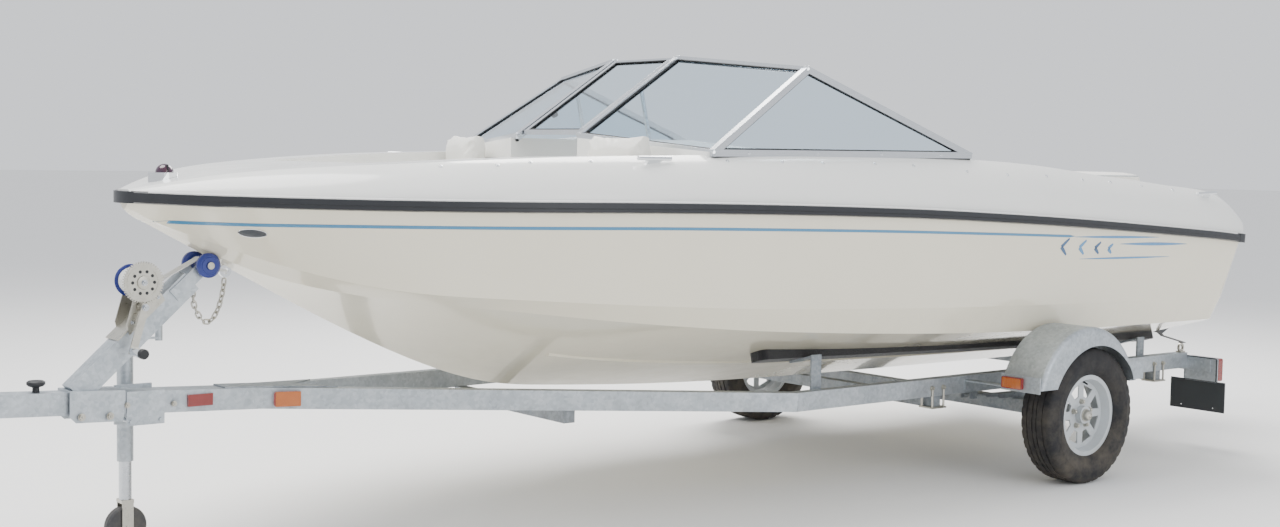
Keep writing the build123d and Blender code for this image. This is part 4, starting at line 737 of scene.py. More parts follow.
def sheerHeight(x):  # height at which a level look meets the side of the rub rail
    for (x0, z0), (x1, z1) in zip(sheerRows, sheerRows[1:]):
        if x <= x1:
            return z0 + (z1 - z0) * (x - x0) / (x1 - x0) - rubBead["belowSheer"]
    return sheerRows[-1][1]


def makeRubBead():
    rubSkin = surfaceOf("rub_rail")
    white, groove = meshes(2)
    count = int((rubBead["to"] - rubBead["from"]) / rubBead["step"])
    for side in (1, -1):
        bead, line = [], []
        for k in range(count + 1):
            x = rubBead["from"] + (rubBead["to"] - rubBead["from"]) * k / count
            out = sideHit(rubSkin, x, sheerHeight(x), side)[0]
            if out is None:
                continue
            above = out + Vector((0, -side * rubBead["inset"], 0.1))
            top = rubSkin.ray_cast(above, Vector((0, 0, -1)))[0]
            if top is not None:
                bead.append(top + Vector((0, 0, rubBead["radius"] * 0.3)))
            line.append(out + Vector((0, side * rubBead["seamOut"], -rubBead["seamDown"])))
        pipe(white, bead, rubBead["radius"], 8)
        pipe(groove, line, rubBead["seam"], 6)
    makePiece("rubRailBead", white, "trimWhite")
    makePiece("rubRailLine", groove, "gasket")


makeRubBead()


# Snaps for the cover along the deck's edge
snaps = {
    "places": [(3.06, 1.348), (2.88, 1.355), (2.76, 1.367), (2.54, 1.374), (1.97, 1.383), (1.71, 1.383),
               (1.5, 1.381), (1.21, 1.382), (0.99, 1.376), (0.68, 1.357), (0.42, 1.345), (0.14, 1.342),
               (-0.13, 1.326), (-0.36, 1.317), (-0.61, 1.302), (-0.87, 1.282)],
    "radius": 0.0075,
    "rise": 0.005,
}


def makeSnaps():
    bm = bmesh.new()
    deckSkin = surfaceOf("deck")
    r, rise = snaps["radius"], snaps["rise"]
    dome = [(0, -0.001), (r, -0.001), (r, rise * 0.3), (r * 0.62, rise * 0.42), (r * 0.56, rise * 0.85),
            (r * 0.3, rise), (0, rise)]
    for side in (1, -1):
        for x, z in snaps["places"]:
            place, normal = sideHit(deckSkin, x, z, side)
            if place is not None:
                lathe(bm, dome, framed(place, normal), 16)
    makePiece("coverSnaps", bm, "chrome")


makeSnaps()
print("stage: stripes, badge, rub rail and snaps")


# Tyres: one turned carcass each, with ribs, shoulder sipes and plain sidewall rings
tyre = {"radius": 0.300, "width": 0.175, "bead": 0.174, "sides": 144, "groove": 0.006, "inner": 0.170,
        "sipe": 0.0048, "track": 1.027}


def tyreProfile():  # columns: radius, offset from the middle, cut by sipes (1) or rib notches (2)
    w, r, g = tyre["width"] / 2, tyre["radius"], tyre["groove"]
    wall = [(tyre["bead"], 0.62), (0.181, 0.70), (0.186, 0.80), (0.196, 0.86), (0.199, 0.89), (0.203, 0.89),
            (0.206, 0.92), (0.225, 0.975), (0.244, 1.0), (0.247, 1.0), (0.250, 0.985), (0.262, 0.965),
            (0.275, 0.93)]
    shoulder = [(0.283, 0.895), (r * 0.972, 0.84), (r * 0.986, 0.76), (r - 0.0025, 0.62), (r - 0.002, 0.50)]
    half = [(radius, w * share, cut) for rows, cut in ((wall, 0), (shoulder, 1)) for radius, share in rows]
    half += [(r - 0.002 - g, w * 0.485, 0), (r - 0.002 - g, w * 0.435, 0), (r - 0.001, w * 0.42, 2),
             (r - 0.0005, w * 0.16, 2), (r - g, w * 0.145, 0), (r - g, w * 0.095, 0), (r, w * 0.08, 2)]
    return half + [(radius, -offset, cut) for radius, offset, cut in reversed(half)]


def makeTyre(suffix, side):
    bm = bmesh.new()
    frameAt = framed(spot(0, side * tyre["track"], tyre["radius"]), (0, 1, 0))
    rings = []
    for radius, offset, cut in tyreProfile():
        ring = []
        for k, a in enumerate(turnAngles(tyre["sides"])):
            late = (k + (2 if offset > 0 else 0)) % 4 if cut == 1 else (k + 1) % 6
            ring.append(frameAt @ polar(radius - (tyre["sipe"] if cut and late == 0 else 0), a, offset))
        rings.append(ring)
    inside = [circle(frameAt, tyre["inner"], way * tyre["width"] * 0.30, tyre["sides"]) for way in (-1, 1)]
    skinned(bm, rings + inside, True)
    wheelBody = "wheel_and_tyre_" + suffix
    makePiece("tyreTread_" + suffix, bm, "tyreRubber", wheelBody, ["tyre_" + suffix], 50)


# Lug nuts, bearing cap and valve on each wheel
wheelTrim = {"nuts": 5, "nutCircle": 0.057, "across": 0.019, "seatTall": 0.003, "nutTall": 0.012,
             "cap": 0.024, "valveAt": 0.148, "valveLean": 0.45}
nutSeat = [(0, -0.001), (0.013, -0.001), (0.0115, 0.004), (0, 0.004)]
nutCrown = [(0, 0), (0.0075, 0), (0.0066, 0.004), (0.003, 0.0065), (0, 0.007)]
valve = [(0, -0.004), (0.0055, -0.004), (0.005, 0.014), (0.0042, 0.016), (0.0042, 0.028), (0.0035, 0.030),
         (0, 0.030)]


def makeWheelTrim(suffix, side):
    steel, rubber = meshes(2)
    wheelSkin = surfaceOf("wheel_" + suffix)
    cap, out = wheelTrim["cap"], (0, side, 0)
    seatTall, nutTall = wheelTrim["seatTall"], wheelTrim["nutTall"]
    for a in turnAngles(wheelTrim["nuts"]):
        x, z = wheelTrim["nutCircle"] * math.sin(a), wheelTrim["nutCircle"] * math.cos(a)
        place = sideHit(wheelSkin, x, tyre["radius"] + z, side)[0]
        if place is not None:
            frameAt = framed(place, out)
            lathe(steel, nutSeat, frameAt, 18)
            slab(steel, hexagon(wheelTrim["across"]), lifted(frameAt, seatTall), nutTall)
            lathe(steel, nutCrown, lifted(frameAt, seatTall + nutTall), 14)
    hub = sideHit(wheelSkin, 0, tyre["radius"], side)[0]
    if hub is not None:
        rows = [(0, -0.001), (cap + 0.004, -0.001), (cap + 0.004, 0.003), (cap, 0.004), (cap - 0.001, 0.016),
                (cap - 0.006, 0.022), (0.008, 0.024), (0.006, 0.026), (0, 0.026)]
        lathe(steel, rows, framed(hub, out), 36)
    rim = sideHit(wheelSkin, 0, tyre["radius"] + wheelTrim["valveAt"], side)[0]
    if rim is not None:
        lathe(rubber, valve, framed(rim, (0, side, -wheelTrim["valveLean"])), 12)
    makePiece("wheelNuts_" + suffix, steel, "zincPlate", "wheel_and_tyre_" + suffix)
    makePiece("valveStem_" + suffix, rubber, "gasket", "wheel_and_tyre_" + suffix)


for sideName, sideSign in (("port", 1), ("starboard", -1)):
    makeTyre(sideName, sideSign)
for sideName, sideSign in (("port", 1), ("starboard", -1)):
    makeWheelTrim(sideName, sideSign)


# Safety chain of real links, along the slack of the plain bar that it stands for
chain = {
    "path": [(3.648, 0, 0.901), (3.643, 0, 0.850), (3.622, 0, 0.806), (3.598, 0, 0.789), (3.574, 0, 0.800),
             (3.552, 0, 0.840), (3.537, 0, 0.895), (3.532, 0, 0.937)],
    "wire": 0.0030,
    "pitch": 0.0205,
    "wide": 0.0078,
    "twist": 12.0,
    "steps": 7,
}


def between(points, share):  # point on a run of straight pieces, by its share of the length
    lengths = [(q - p).length for p, q in zip(points, points[1:])]
    left = share * sum(lengths)
    for p, q, length in zip(points, points[1:], lengths):
        if left <= length:
            return p.lerp(q, left / length)
        left -= length
    return points[-1]


def link(bm, frameAt):  # one oval link, long along the frame's z
    straight = chain["pitch"] * 1.02 / 2 + chain["wire"] - chain["wide"]
    points = []
    for way in (1, -1):
        for k in range(chain["steps"] + 1):
            a = math.pi * k / chain["steps"]
            bend = way * chain["wide"]
            points.append(frameAt @ Vector((bend * math.cos(a), 0, way * straight + bend * math.sin(a))))
    pipe(bm, points, chain["wire"], 8, True)


def makeChain():
    bm = bmesh.new()
    run = smoothRun(chain["path"], 16)
    count = round(sum((b - a).length for a, b in zip(run, run[1:])) / chain["pitch"])
    for k in range(count):
        here, near = between(run, (k + 0.5) / count), between(run, (k + 0.52) / count)
        turn = Matrix.Rotation(math.radians(90 * (k % 2) + chain["twist"]), 4, "Z")
        link(bm, framed(spot(*here), near - here, (0, 1, 0)) @ turn)
    makePiece("safetyChainLinks", bm, "zincPlate", replaced=["bow_chain"])


makeChain()


# Winch: toothed gear, ratchet, bolts, drum flanges, crank grip, and dark discs on the gear face as painted
# shade in its holes
winchTrim = {
    "gear": (3.852, 0.940), "teeth": 48, "gearR": 0.0655, "toothR": 0.0715, "face": 0.0685,
    "gearThick": 0.0085, "gearProud": 0.001, "pinion": (3.856, 0.858), "pinionTeeth": 12, "pinionR": 0.0125,
    "pinionToothR": 0.0172, "pinionFace": 0.0765, "crank": (3.898, 0.712), "holes": 10, "holeCircle": 0.038,
    "bolts": [(3.884, 0.805), (3.795, 0.888), (3.850, 0.925)], "pinionThick": 0.017,
    "gearBolt": (0.008, 0.015), "pinionBolt": (0.096, 0.017), "sideBolt": (0.0545, 0.010),
    "gripBolt": (0.0845, 0.013), "gripY": 0.0962, "gripEndY": 0.1702,  # bolts: how far out, across the flats
    "hub": [(0, 0), (0.024, 0), (0.022, 0.006), (0.012, 0.008), (0, 0.008)],
    "ring": [(0.050, 0), (0.058, 0), (0.058, 0.0025), (0.050, 0.0025)],
    "hole": [(0, -0.0002), (0.0058, -0.0002), (0.0058, 0.0012), (0, 0.0012)],
    "flange": [(0.0225, 0.0455), (0.0545, 0.0455), (0.056, 0.0475), (0.0545, 0.0495), (0.0225, 0.0495)],
    "grip": [(0, 0.0), (0.0155, 0.0), (0.0160, 0.003), (0.0160, 0.072), (0.0150, 0.075), (0, 0.075)],
    "gripEnd": [(0, 0.0), (0.0168, 0.0), (0.0172, 0.003), (0.0172, 0.018), (0.0150, 0.0215), (0, 0.0225)],
}


def gearOutline(teeth, inner, outer):
    tooth = ((0.0, inner), (0.32, inner), (0.42, outer), (0.78, outer), (0.9, inner))
    return [polar(radius, 2 * math.pi * (k + part) / teeth)[:2]
            for k in range(teeth) for part, radius in tooth]


def makeWinchTrim():
    plate, dark, blue, steel, grip = meshes(5)
    gx, gz = winchTrim["gear"]
    px, pz = winchTrim["pinion"]
    cx, cz = winchTrim["crank"]
    face = sideways(gx, winchTrim["face"], gz, 1)
    back = lifted(face, winchTrim["gearProud"] - winchTrim["gearThick"])
    large = gearOutline(winchTrim["teeth"], winchTrim["gearR"], winchTrim["toothR"])
    slab(plate, large, back, winchTrim["gearThick"])
    lathe(plate, winchTrim["ring"], face, 48, True)
    lathe(plate, winchTrim["hub"], face, 32)
    # dark discs on the solid gear face: painted shade where its holes are
    for place in circle(face, winchTrim["holeCircle"], 0, winchTrim["holes"]):
        lathe(dark, winchTrim["hole"], framed(place, (0, 1, 0)), 16)
    boltOut, across = winchTrim["gearBolt"]
    bolt(steel, lifted(face, boltOut), across)
    small = gearOutline(winchTrim["pinionTeeth"], winchTrim["pinionR"], winchTrim["pinionToothR"])
    thick = winchTrim["pinionThick"]
    slab(plate, small, lifted(sideways(px, winchTrim["pinionFace"], pz, 1), -thick), thick)
    boltOut, across = winchTrim["pinionBolt"]
    bolt(steel, sideways(px, boltOut, pz, 1), across)
    boltOut, across = winchTrim["sideBolt"]
    for x, z in winchTrim["bolts"]:
        for side in (1, -1):
            bolt(steel, sideways(x, boltOut, z, side), across)
    for side in (1, -1):
        lathe(blue, winchTrim["flange"], sideways(gx, 0, gz, side), 48, True)
    lathe(grip, winchTrim["grip"], sideways(cx, winchTrim["gripY"], cz, 1), 32)
    lathe(dark, winchTrim["gripEnd"], sideways(cx, winchTrim["gripEndY"], cz, 1), 28)
    boltOut, across = winchTrim["gripBolt"]
    bolt(steel, framed(spot(cx, boltOut, cz), (0, -1, 0)), across)
    makePiece("winchGearFace", plate, "zincPlate")
    # this piece holds the painted shade discs of the holes and the black grip end
    makePiece("winchHoleShadeAndGripEnd", dark, "gasket")
    makePiece("winchDrumFlanges", blue, "rollerBlue")
    makePiece("winchGrip", grip, "chrome")
    makePiece("winchBolts", steel, "groundSteel")


makeWinchTrim()
print("stage: tyres, wheels, chain and winch")


# Cushions: each pad is the solid that it stands for, shrunk, swollen as cloth, then sewn and piped
padWork = {
    "voxel": (0.006, 0.012), "quads": 6000, "shrink": 0.007, "cap": 0.013, "pressure": 4.0, "frames": 20,
    "clear": 0.0004, "seamDeep": 0.005, "seamWide": 0.007, "seamReach": 0.04, "piping": 0.0034,
    "pipingIn": 0.012, "pipingSpan": 0.7,
}

# columns: what it rides, seams as (axis, share of the pad's length along it)
padNodes = {
    "helm_cushions": ("helm_chair", [(1, 0.25), (1, 0.5), (1, 0.75)]),
    "companion_cushions": ("companion_chair", [(1, 0.25), (1, 0.5), (1, 0.75)]),
    "bench_cushions": ("boat_and_trailer", [(0, 0.33), (0, 0.66)]),
    "sun_pad": ("hatch", [(1, 0.333), (1, 0.667)]),
}
wideBench = {"over": 1.0, "seams": [(1, 0.2), (1, 0.4), (1, 0.6), (1, 0.8)]}


def looseSolids(nodeName):  # points and faces of each solid of a CAD part
    whole = bmesh.new()
    whole.from_mesh(nodes[nodeName].data)
    bmesh.ops.remove_doubles(whole, verts=whole.verts, dist=1e-6)
    whole.verts.ensure_lookup_table()
    seen, solids = set(), []
    for vert in whole.verts:
        if vert.index in seen:
            continue
        group, waiting = [], [vert]
        seen.add(vert.index)
        while waiting:
            here = waiting.pop()
            group.append(here)
            for edge in here.link_edges:
                other = edge.other_vert(here)
                if other.index not in seen:
                    seen.add(other.index)
                    waiting.append(other)
        number = {v.index: k for k, v in enumerate(group)}
        faces = [[number[v.index] for v in face.verts] for face in whole.faces
                 if face.verts[0].index in number]
        solids.append(([v.co.copy() for v in group], faces))
    whole.free()
    return solids


def settle(piece):  # mesh with its modifiers worked in
    graph = bpy.context.evaluated_depsgraph_get()
    mesh = bpy.data.meshes.new_from_object(piece.evaluated_get(graph))
    piece.modifiers.clear()
    old = piece.data
    piece.data = mesh
    bpy.data.meshes.remove(old)


def openWayOf(low, high):  # the side of a pad that is free to swell: up, or away from what it leans on
    size = high - low
    thin = min(range(3), key=lambda k: size[k])
    if thin == 1:
        return Vector((0, -1 if low.y + high.y > 0 else 1, 0))
    return Vector((1, 0, 0)) if thin == 0 else Vector((0, 0, 1))


def heldIn(solid, place, openWay):  # place brought back inside the solid, but on its open side
    near, normal, _, _ = solid.find_nearest(place)
    outside = (place - near).dot(normal) + padWork["clear"]
    return place - normal * outside if outside > 0 and normal.dot(openWay) < 0.5 else place


def swellPad(name, points, faces):
    mesh = bpy.data.meshes.new(name)
    mesh.from_pydata(points, [], faces)
    area = sum(face.area for face in mesh.polygons)
    low = Vector([min(p[k] for p in points) for k in range(3)])
    high = Vector([max(p[k] for p in points) for k in range(3)])
    openWay = openWayOf(low, high)
    solid = BVHTree.FromPolygons(points, faces)
    pad = bpy.data.objects.new(name, mesh)
    scene.collection.objects.link(pad)
    remesh = pad.modifiers.new("even", "REMESH")
    remesh.mode = "VOXEL"
    remesh.voxel_size = min(max(math.sqrt(area / padWork["quads"]), padWork["voxel"][0]), padWork["voxel"][1])
    settle(pad)
    start = [vert.co - vert.normal * padWork["shrink"] for vert in pad.data.vertices]
    for vert, place in zip(pad.data.vertices, start):
        vert.co = place
    cloth = pad.modifiers.new("swell", "CLOTH")
    cloth.settings.use_pressure = True
    cloth.settings.uniform_pressure_force = padWork["pressure"]
    cloth.settings.effector_weights.gravity = 0
    cloth.settings.quality = 4
    cloth.collision_settings.use_collision = False
    for frameNumber in range(1, padWork["frames"] + 1):
        scene.frame_set(frameNumber)
    settle(pad)
    scene.frame_set(1)
    places = []
    for vert, before in zip(pad.data.vertices, start):
        move = vert.co - before
        place = before + move * min(1.0, padWork["cap"] / max(move.length, 1e-9))
        places.append(heldIn(solid, place, openWay))
    for vert, place in zip(pad.data.vertices, places):
        vert.co = place
    soften = pad.modifiers.new("soften", "SMOOTH")
    soften.factor, soften.iterations = 0.5, 3
    finer = pad.modifiers.new("finer", "SUBSURF")
    finer.levels = finer.render_levels = 1
    settle(pad)
    for vert in pad.data.vertices:
        vert.co = heldIn(solid, vert.co.copy(), openWay)
    return pad, low, high, openWay


def sewSeams(pad, low, high, openWay, seams):
    normals = [vert.normal.copy() for vert in pad.data.vertices]
    for axis, share in seams:
        line = low[axis] + (high[axis] - low[axis]) * share
        for vert, normal in zip(pad.data.vertices, normals):
            away = abs(vert.co[axis] - line)
            facing = normal.dot(openWay)
            if away < padWork["seamReach"] and facing > 0.2:
                depth = padWork["seamDeep"] * facing * math.exp(-(away / padWork["seamWide"]) ** 2)
                vert.co -= normal * depth


def edgeLoops(mesh, place, way):  # loops of points where a plane cuts a mesh
    cut = bmesh.new()
    cut.from_mesh(mesh)
    whole = cut.verts[:] + cut.edges[:] + cut.faces[:]
    made = bmesh.ops.bisect_plane(cut, geom=whole, plane_co=place, plane_no=way)
    edges = [e for e in made["geom_cut"] if isinstance(e, bmesh.types.BMEdge)]
    cut.verts.index_update()
    beside = {}
    for edge in edges:
        a, b = edge.verts
        beside.setdefault(a.index, []).append(b)
        beside.setdefault(b.index, []).append(a)
    byIndex = {v.index: v for edge in edges for v in edge.verts}
    loops, used = [], set()
    for first in sorted(beside):
        if first in used:
            continue
        loop, here = [], byIndex[first]
        while here is not None and here.index not in used:
            used.add(here.index)
            loop.append(here.co.copy())
            here = next((v for v in beside[here.index] if v.index not in used), None)
        if len(loop) > 12:
            loops.append(loop)
    cut.free()
    return loops


def addPiping(bm, pad, low, high, openWay):  # cord round the pad's edge, on loops about as wide as it
    far = Vector([high[k] if openWay[k] > 0 else low[k] if openWay[k] < 0 else 0 for k in range(3)])
    level = [k for k in range(3) if openWay[k] == 0]
    for loop in edgeLoops(pad.data, far - openWay * padWork["pipingIn"], openWay):
        spans = [(max(p[k] for p in loop) - min(p[k] for p in loop)) / (high[k] - low[k]) for k in level]
        if min(spans) >= padWork["pipingSpan"]:
            pipe(bm, loop[::max(1, len(loop) // 160)], padWork["piping"], 6, True)


def makePads():
    for nodeName, (bodyName, seams) in padNodes.items():
        piping = bmesh.new()
        solids = looseSolids(nodeName)
        for k, (points, faces) in enumerate(solids):
            pad, low, high, openWay = swellPad(f"{nodeName}Pad{k}", points, faces)
            wide = nodeName == "bench_cushions" and high.y - low.y > wideBench["over"]
            lines = wideBench["seams"] if wide else seams
            sewSeams(pad, low, high, openWay, [seam for seam in lines if openWay[seam[0]] == 0])
            addPiping(piping, pad, low, high, openWay)
            pad.data.polygons.foreach_set("use_smooth", [True] * len(pad.data.polygons))
            pad.data.materials.append(finishes["seatVinyl"])
            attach(pad, bodyName)
            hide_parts(nodeName)
        makePiece(nodeName + "Piping", piping, "accentVinyl", bodyName)
        print("stage: padded", nodeName, "in", len(solids), "pads")


makePads()


# Windshield: glazing beads inside the frames, rubber under the wings, screws and latch
shield = {
    "baseMid": (2.140, 0.215, 1.470), "baseCorner": (2.016, 0.862, 1.412), "topMid": (1.646, 0.212, 1.796),
    "topCorner": (1.485, 0.800, 1.742), "tip": (0.584, 0.862, 1.424), "frame": 0.013, "bead": 0.0035,
    "step": 0.006, "doorShare": (0.05, 0.985), "doorHalf": 0.184, "doorFrame": 0.010, "rubber": 0.0075,
    "latchShare": 0.28, "screws": (0.12, 0.37, 0.62, 0.87), "beadIn": 0.002, "doorBeadIn": 0.001,
    "rubberOut": 0.004, "rubberDown": 0.003, "screwOut": 0.0128, "screwAcross": 0.009, "screwTall": 0.002,
    "plug": [(0, 0.012), (0.009, 0.012), (0.007, 0.0165), (0, 0.0175)],
    "knob": [(0, 0.010), (0.013, 0.010), (0.015, 0.016), (0.013, 0.024), (0, 0.025)],
}


def insetLoop(corners, inset):
    places = [Vector(p) for p in corners]
    normal = (places[1] - places[0]).cross(places[-1] - places[0]).normalized()
    made = []
    for k, here in enumerate(places):
        before = (here - places[k - 1]).normalized()
        after = (places[(k + 1) % len(places)] - here).normalized()
        first, second = normal.cross(before), normal.cross(after)
        bisector = (first + second).normalized()
        made.append(here + bisector * inset / max(bisector.dot(first), 0.2))
    return made, normal


def shieldCorner(name, side):
    x, y, z = shield[name]
    return Vector((x, y * side, z))


def beadRun(bm, corners, inset):  # a bead on each face of the glass, along every edge of a frame
    loop, normal = insetLoop(corners, inset)
    for face in (shield["step"], -shield["step"]):
        for here, there in zip(loop, loop[1:] + loop[:1]):
            pipe(bm, [spot(*(p + normal * face)) for p in spread(here, there, 6)], shield["bead"], 8)


def makeShieldTrim():
    beads, doorBeads, rubber, metal = meshes(4)
    for side in (1, -1):
        baseMid, baseCorner = shieldCorner("baseMid", side), shieldCorner("baseCorner", side)
        topMid, topCorner, tip = (shieldCorner(name, side) for name in ("topMid", "topCorner", "tip"))
        for corners in ([baseMid, baseCorner, topCorner, topMid], [baseCorner, tip, topCorner]):
            beadRun(beads, corners, shield["frame"] + shield["beadIn"])
        under = Vector((0, side * shield["rubberOut"], -shield["frame"] - shield["rubberDown"]))
        for first, last in ((baseMid, baseCorner), (baseCorner, tip)):
            line = [spot(*(p + under)) for p in spread(first, last, 40)]
            pipe(rubber, line, shield["rubber"], 8, squash=0.8)
        for share in shield["screws"]:
            p = baseCorner.lerp(tip, share)
            place = sideways(p.x, abs(p.y) + shield["screwOut"], p.z, side)
            bolt(metal, place, shield["screwAcross"], shield["screwTall"])
        for corner in (topCorner, baseCorner):
            lathe(metal, shield["plug"], framed(spot(*corner), (0.5, side, 0.25)), 20)
    half = shield["doorHalf"]
    low, high = shieldCorner("baseMid", 1), shieldCorner("topMid", 1)
    foot, head = (low.lerp(high, share) for share in shield["doorShare"])
    quad = [(end.x, y, end.z) for end, y in ((foot, half), (foot, -half), (head, -half), (head, half))]
    beadRun(doorBeads, quad, shield["doorFrame"] + shield["doorBeadIn"])
    latch = foot.lerp(head, shield["latchShare"])
    lathe(doorBeads, shield["knob"], framed(spot(latch.x, -half, latch.z), (-0.55, 0, -0.83)), 24)
    makePiece("shieldBeads", beads, "gasket")
    makePiece("shieldDoorBeads", doorBeads, "gasket", "windshield_door")
    makePiece("shieldRubber", rubber, "gasket")
    makePiece("shieldScrews", metal, "chrome")


makeShieldTrim()


# Lamps: amber covers, lens ribs, shrouds of the tail lamps
lampTrim = {
    "railX": 3.330, "railDown": 0.038, "railTaper": 0.329, "ribs": 9, "ribStep": 0.0098,
    "ribSize": (0.0094, 0.004, 0.050), "lensSize": (0.0895, 0.0034, 0.0535), "guard": (0.3945, 0.979, 0.459),
    "guardSize": (0.0100, 0.107, 0.049), "guardRibs": 8, "guardRibStep": 0.0125,
    "guardRibSize": (0.0022, 0.0016, 0.042), "shroud": (-1.3440, 0.781, 0.382),
    "shroudSize": (0.0180, 0.186, 0.124), "guardRibOut": 0.0052, "tailRibs": 5, "tailFirst": 0.340,
    "tailStep": 0.021, "tailSideAt": (-1.3722, 0.8706), "tailSideRib": (0.0445, 0.0016, 0.0030),
    "tailBackAt": (-1.3924, 0.781), "tailBackRib": (0.0016, 0.150, 0.0030),
}
frameTop = {"level": 0.458, "rise": 0.0454, "from": 1.4}


def frontTop(x):  # top of the frame where it rises toward the coupler
    return frameTop["level"] + frameTop["rise"] * max(0, x - frameTop["from"])


def makeLamps():
    lampSkin = surfaceOf("lamps")
    amber, zinced, red = meshes(3)
    railX, last = lampTrim["railX"], lampTrim["ribs"] - 1
    for side in (1, -1):
        hit = sideHit(lampSkin, railX, frontTop(railX) - lampTrim["railDown"], side)[0]
        if hit is not None:
            lens = Matrix.Translation(hit) @ Matrix.Rotation(-side * math.atan(lampTrim["railTaper"]), 4, "Z")
            for place in spread((-last / 2, 0, 0), (last / 2, 0, 0), last):
                rib = lens @ Matrix.Translation(place * lampTrim["ribStep"])
                brick(amber, lampTrim["ribSize"], rib, 0.0016)
            brick(amber, lampTrim["lensSize"], lens, 0.0015)
        gx, gy, gz = lampTrim["guard"]
        brick(amber, lampTrim["guardSize"], at(gx, side * gy, gz), 0.0040, 3)
        for k in range(lampTrim["guardRibs"]):
            y = side * gy + (k - (lampTrim["guardRibs"] - 1) / 2) * lampTrim["guardRibStep"]
            brick(amber, lampTrim["guardRibSize"], at(gx + lampTrim["guardRibOut"], y, gz), 0.0005, 1)
        sx, sy, sz = lampTrim["shroud"]
        brick(zinced, lampTrim["shroudSize"], at(sx, side * sy, sz), 0.006, 3)
        for k in range(lampTrim["tailRibs"]):
            z = lampTrim["tailFirst"] + k * lampTrim["tailStep"]
            for face in ("tailSide", "tailBack"):
                x, y = lampTrim[face + "At"]
                brick(red, lampTrim[face + "Rib"], at(x, side * y, z), 0.0006, 1)
    makePiece("amberLenses", amber, "lensAmber")
    makePiece("tailLampShrouds", zinced, "galvanised")
    makePiece("tailLensRibs", red, "lensRed")


makeLamps()


# Bow light, coupler knob, roller caps and hubs, bolts
fittings = {
    "dome": (3.750, 0, 1.309), "domeR": 0.0312, "knob": (4.190, 0, 0.5855), "roller": (3.618, 0.991),
    "knobRows": [(0, -0.004), (0.012, -0.004), (0.011, 0.016), (0.024, 0.020), (0.030, 0.026), (0.030, 0.034),
                 (0.024, 0.038), (0.010, 0.036), (0, 0.036)],
    "capRows": [(0, 0), (0.0125, 0), (0.0125, 0.0028), (0.0085, 0.004), (0.0085, 0.0075), (0, 0.0080)],
    "hubRows": [(0.0135, 0), (0.030, 0), (0.0285, 0.003), (0.0150, 0.0035)],
    "couplerBolts": [(4.062, 0.500), (3.966, 0.496)],
    "standBolts": [3.905, 3.740],
    "axleClamps": [-1.080, 0.560],
    "clampHalf": 0.036,
    "clampRod": 0.005,
    "band": (0.004, 0.0655, 0.030), "bandUp": 0.013, "capY": 0.0838, "hubY": 0.0762,
    "couplerBolt": (0.0652, 0.018), "standBolt": (0.0583, 0.014),  # columns: y, across the flats
    "standBoltDown": 0.045,
    "clampPlate": (0.094, 0.078, 0.007), "clampAt": (0.685, 0.3325), "clampBolt": (0.7104, 0.418, 0.016),
    "rodY": (0.7145, 0.6555), "rodZ": (0.425, 0.335),
}


def makeFittings():
    dome, dark, steel, caps, hub = meshes(5)
    r, half = fittings["domeR"], fittings["clampHalf"]
    domeX, _, domeZ = fittings["dome"]
    rollerX, rollerZ = fittings["roller"]
    profile = [(0, -0.002), (r, -0.002)] + [polar(r, math.pi * k / 20)[:2] for k in range(10)] + [(0, r)]
    lathe(dome, profile, at(*fittings["dome"]), 40)
    brick(dark, fittings["band"], at(domeX, 0, domeZ + fittings["bandUp"]), 0.0015)
    lathe(dark, fittings["knobRows"], at(*fittings["knob"]), 36)
    for side in (1, -1):
        lathe(caps, fittings["capRows"], sideways(rollerX, fittings["capY"], rollerZ, side), 24)
        lathe(hub, fittings["hubRows"], sideways(rollerX, fittings["hubY"], rollerZ, side), 36, True)
        y, across = fittings["couplerBolt"]
        for x, z in fittings["couplerBolts"]:
            bolt(steel, sideways(x, y, z, side), across)
        for x in fittings["axleClamps"]:
            y, z = fittings["clampAt"]
            brick(steel, fittings["clampPlate"], at(x, side * y, z), 0.0015)
            for rodX in (x - half, x + half):
                y, z, across = fittings["clampBolt"]
                bolt(steel, sideways(rodX, y, z, side), across)
                for y in fittings["rodY"]:
                    pipe(steel, [spot(rodX, side * y, z) for z in fittings["rodZ"]], fittings["clampRod"], 10)
        y, across = fittings["standBolt"]
        for x in fittings["standBolts"]:
            bolt(steel, sideways(x, y, frontTop(x) - fittings["standBoltDown"], side), across)
    makePiece("bowLightDome", dome, "lensNavy")
    makePiece("darkKnobs", dark, "helmBlack")
    makePiece("trailerBolts", steel, "zincPlate")
    makePiece("rollerCaps", caps, "zincPlate", "bow_roller_set")
    makePiece("rollerHubs", hub, "rollerBlue", "bow_roller_set")


makeFittings()
print("stage: windshield beads, lamps and fittings")


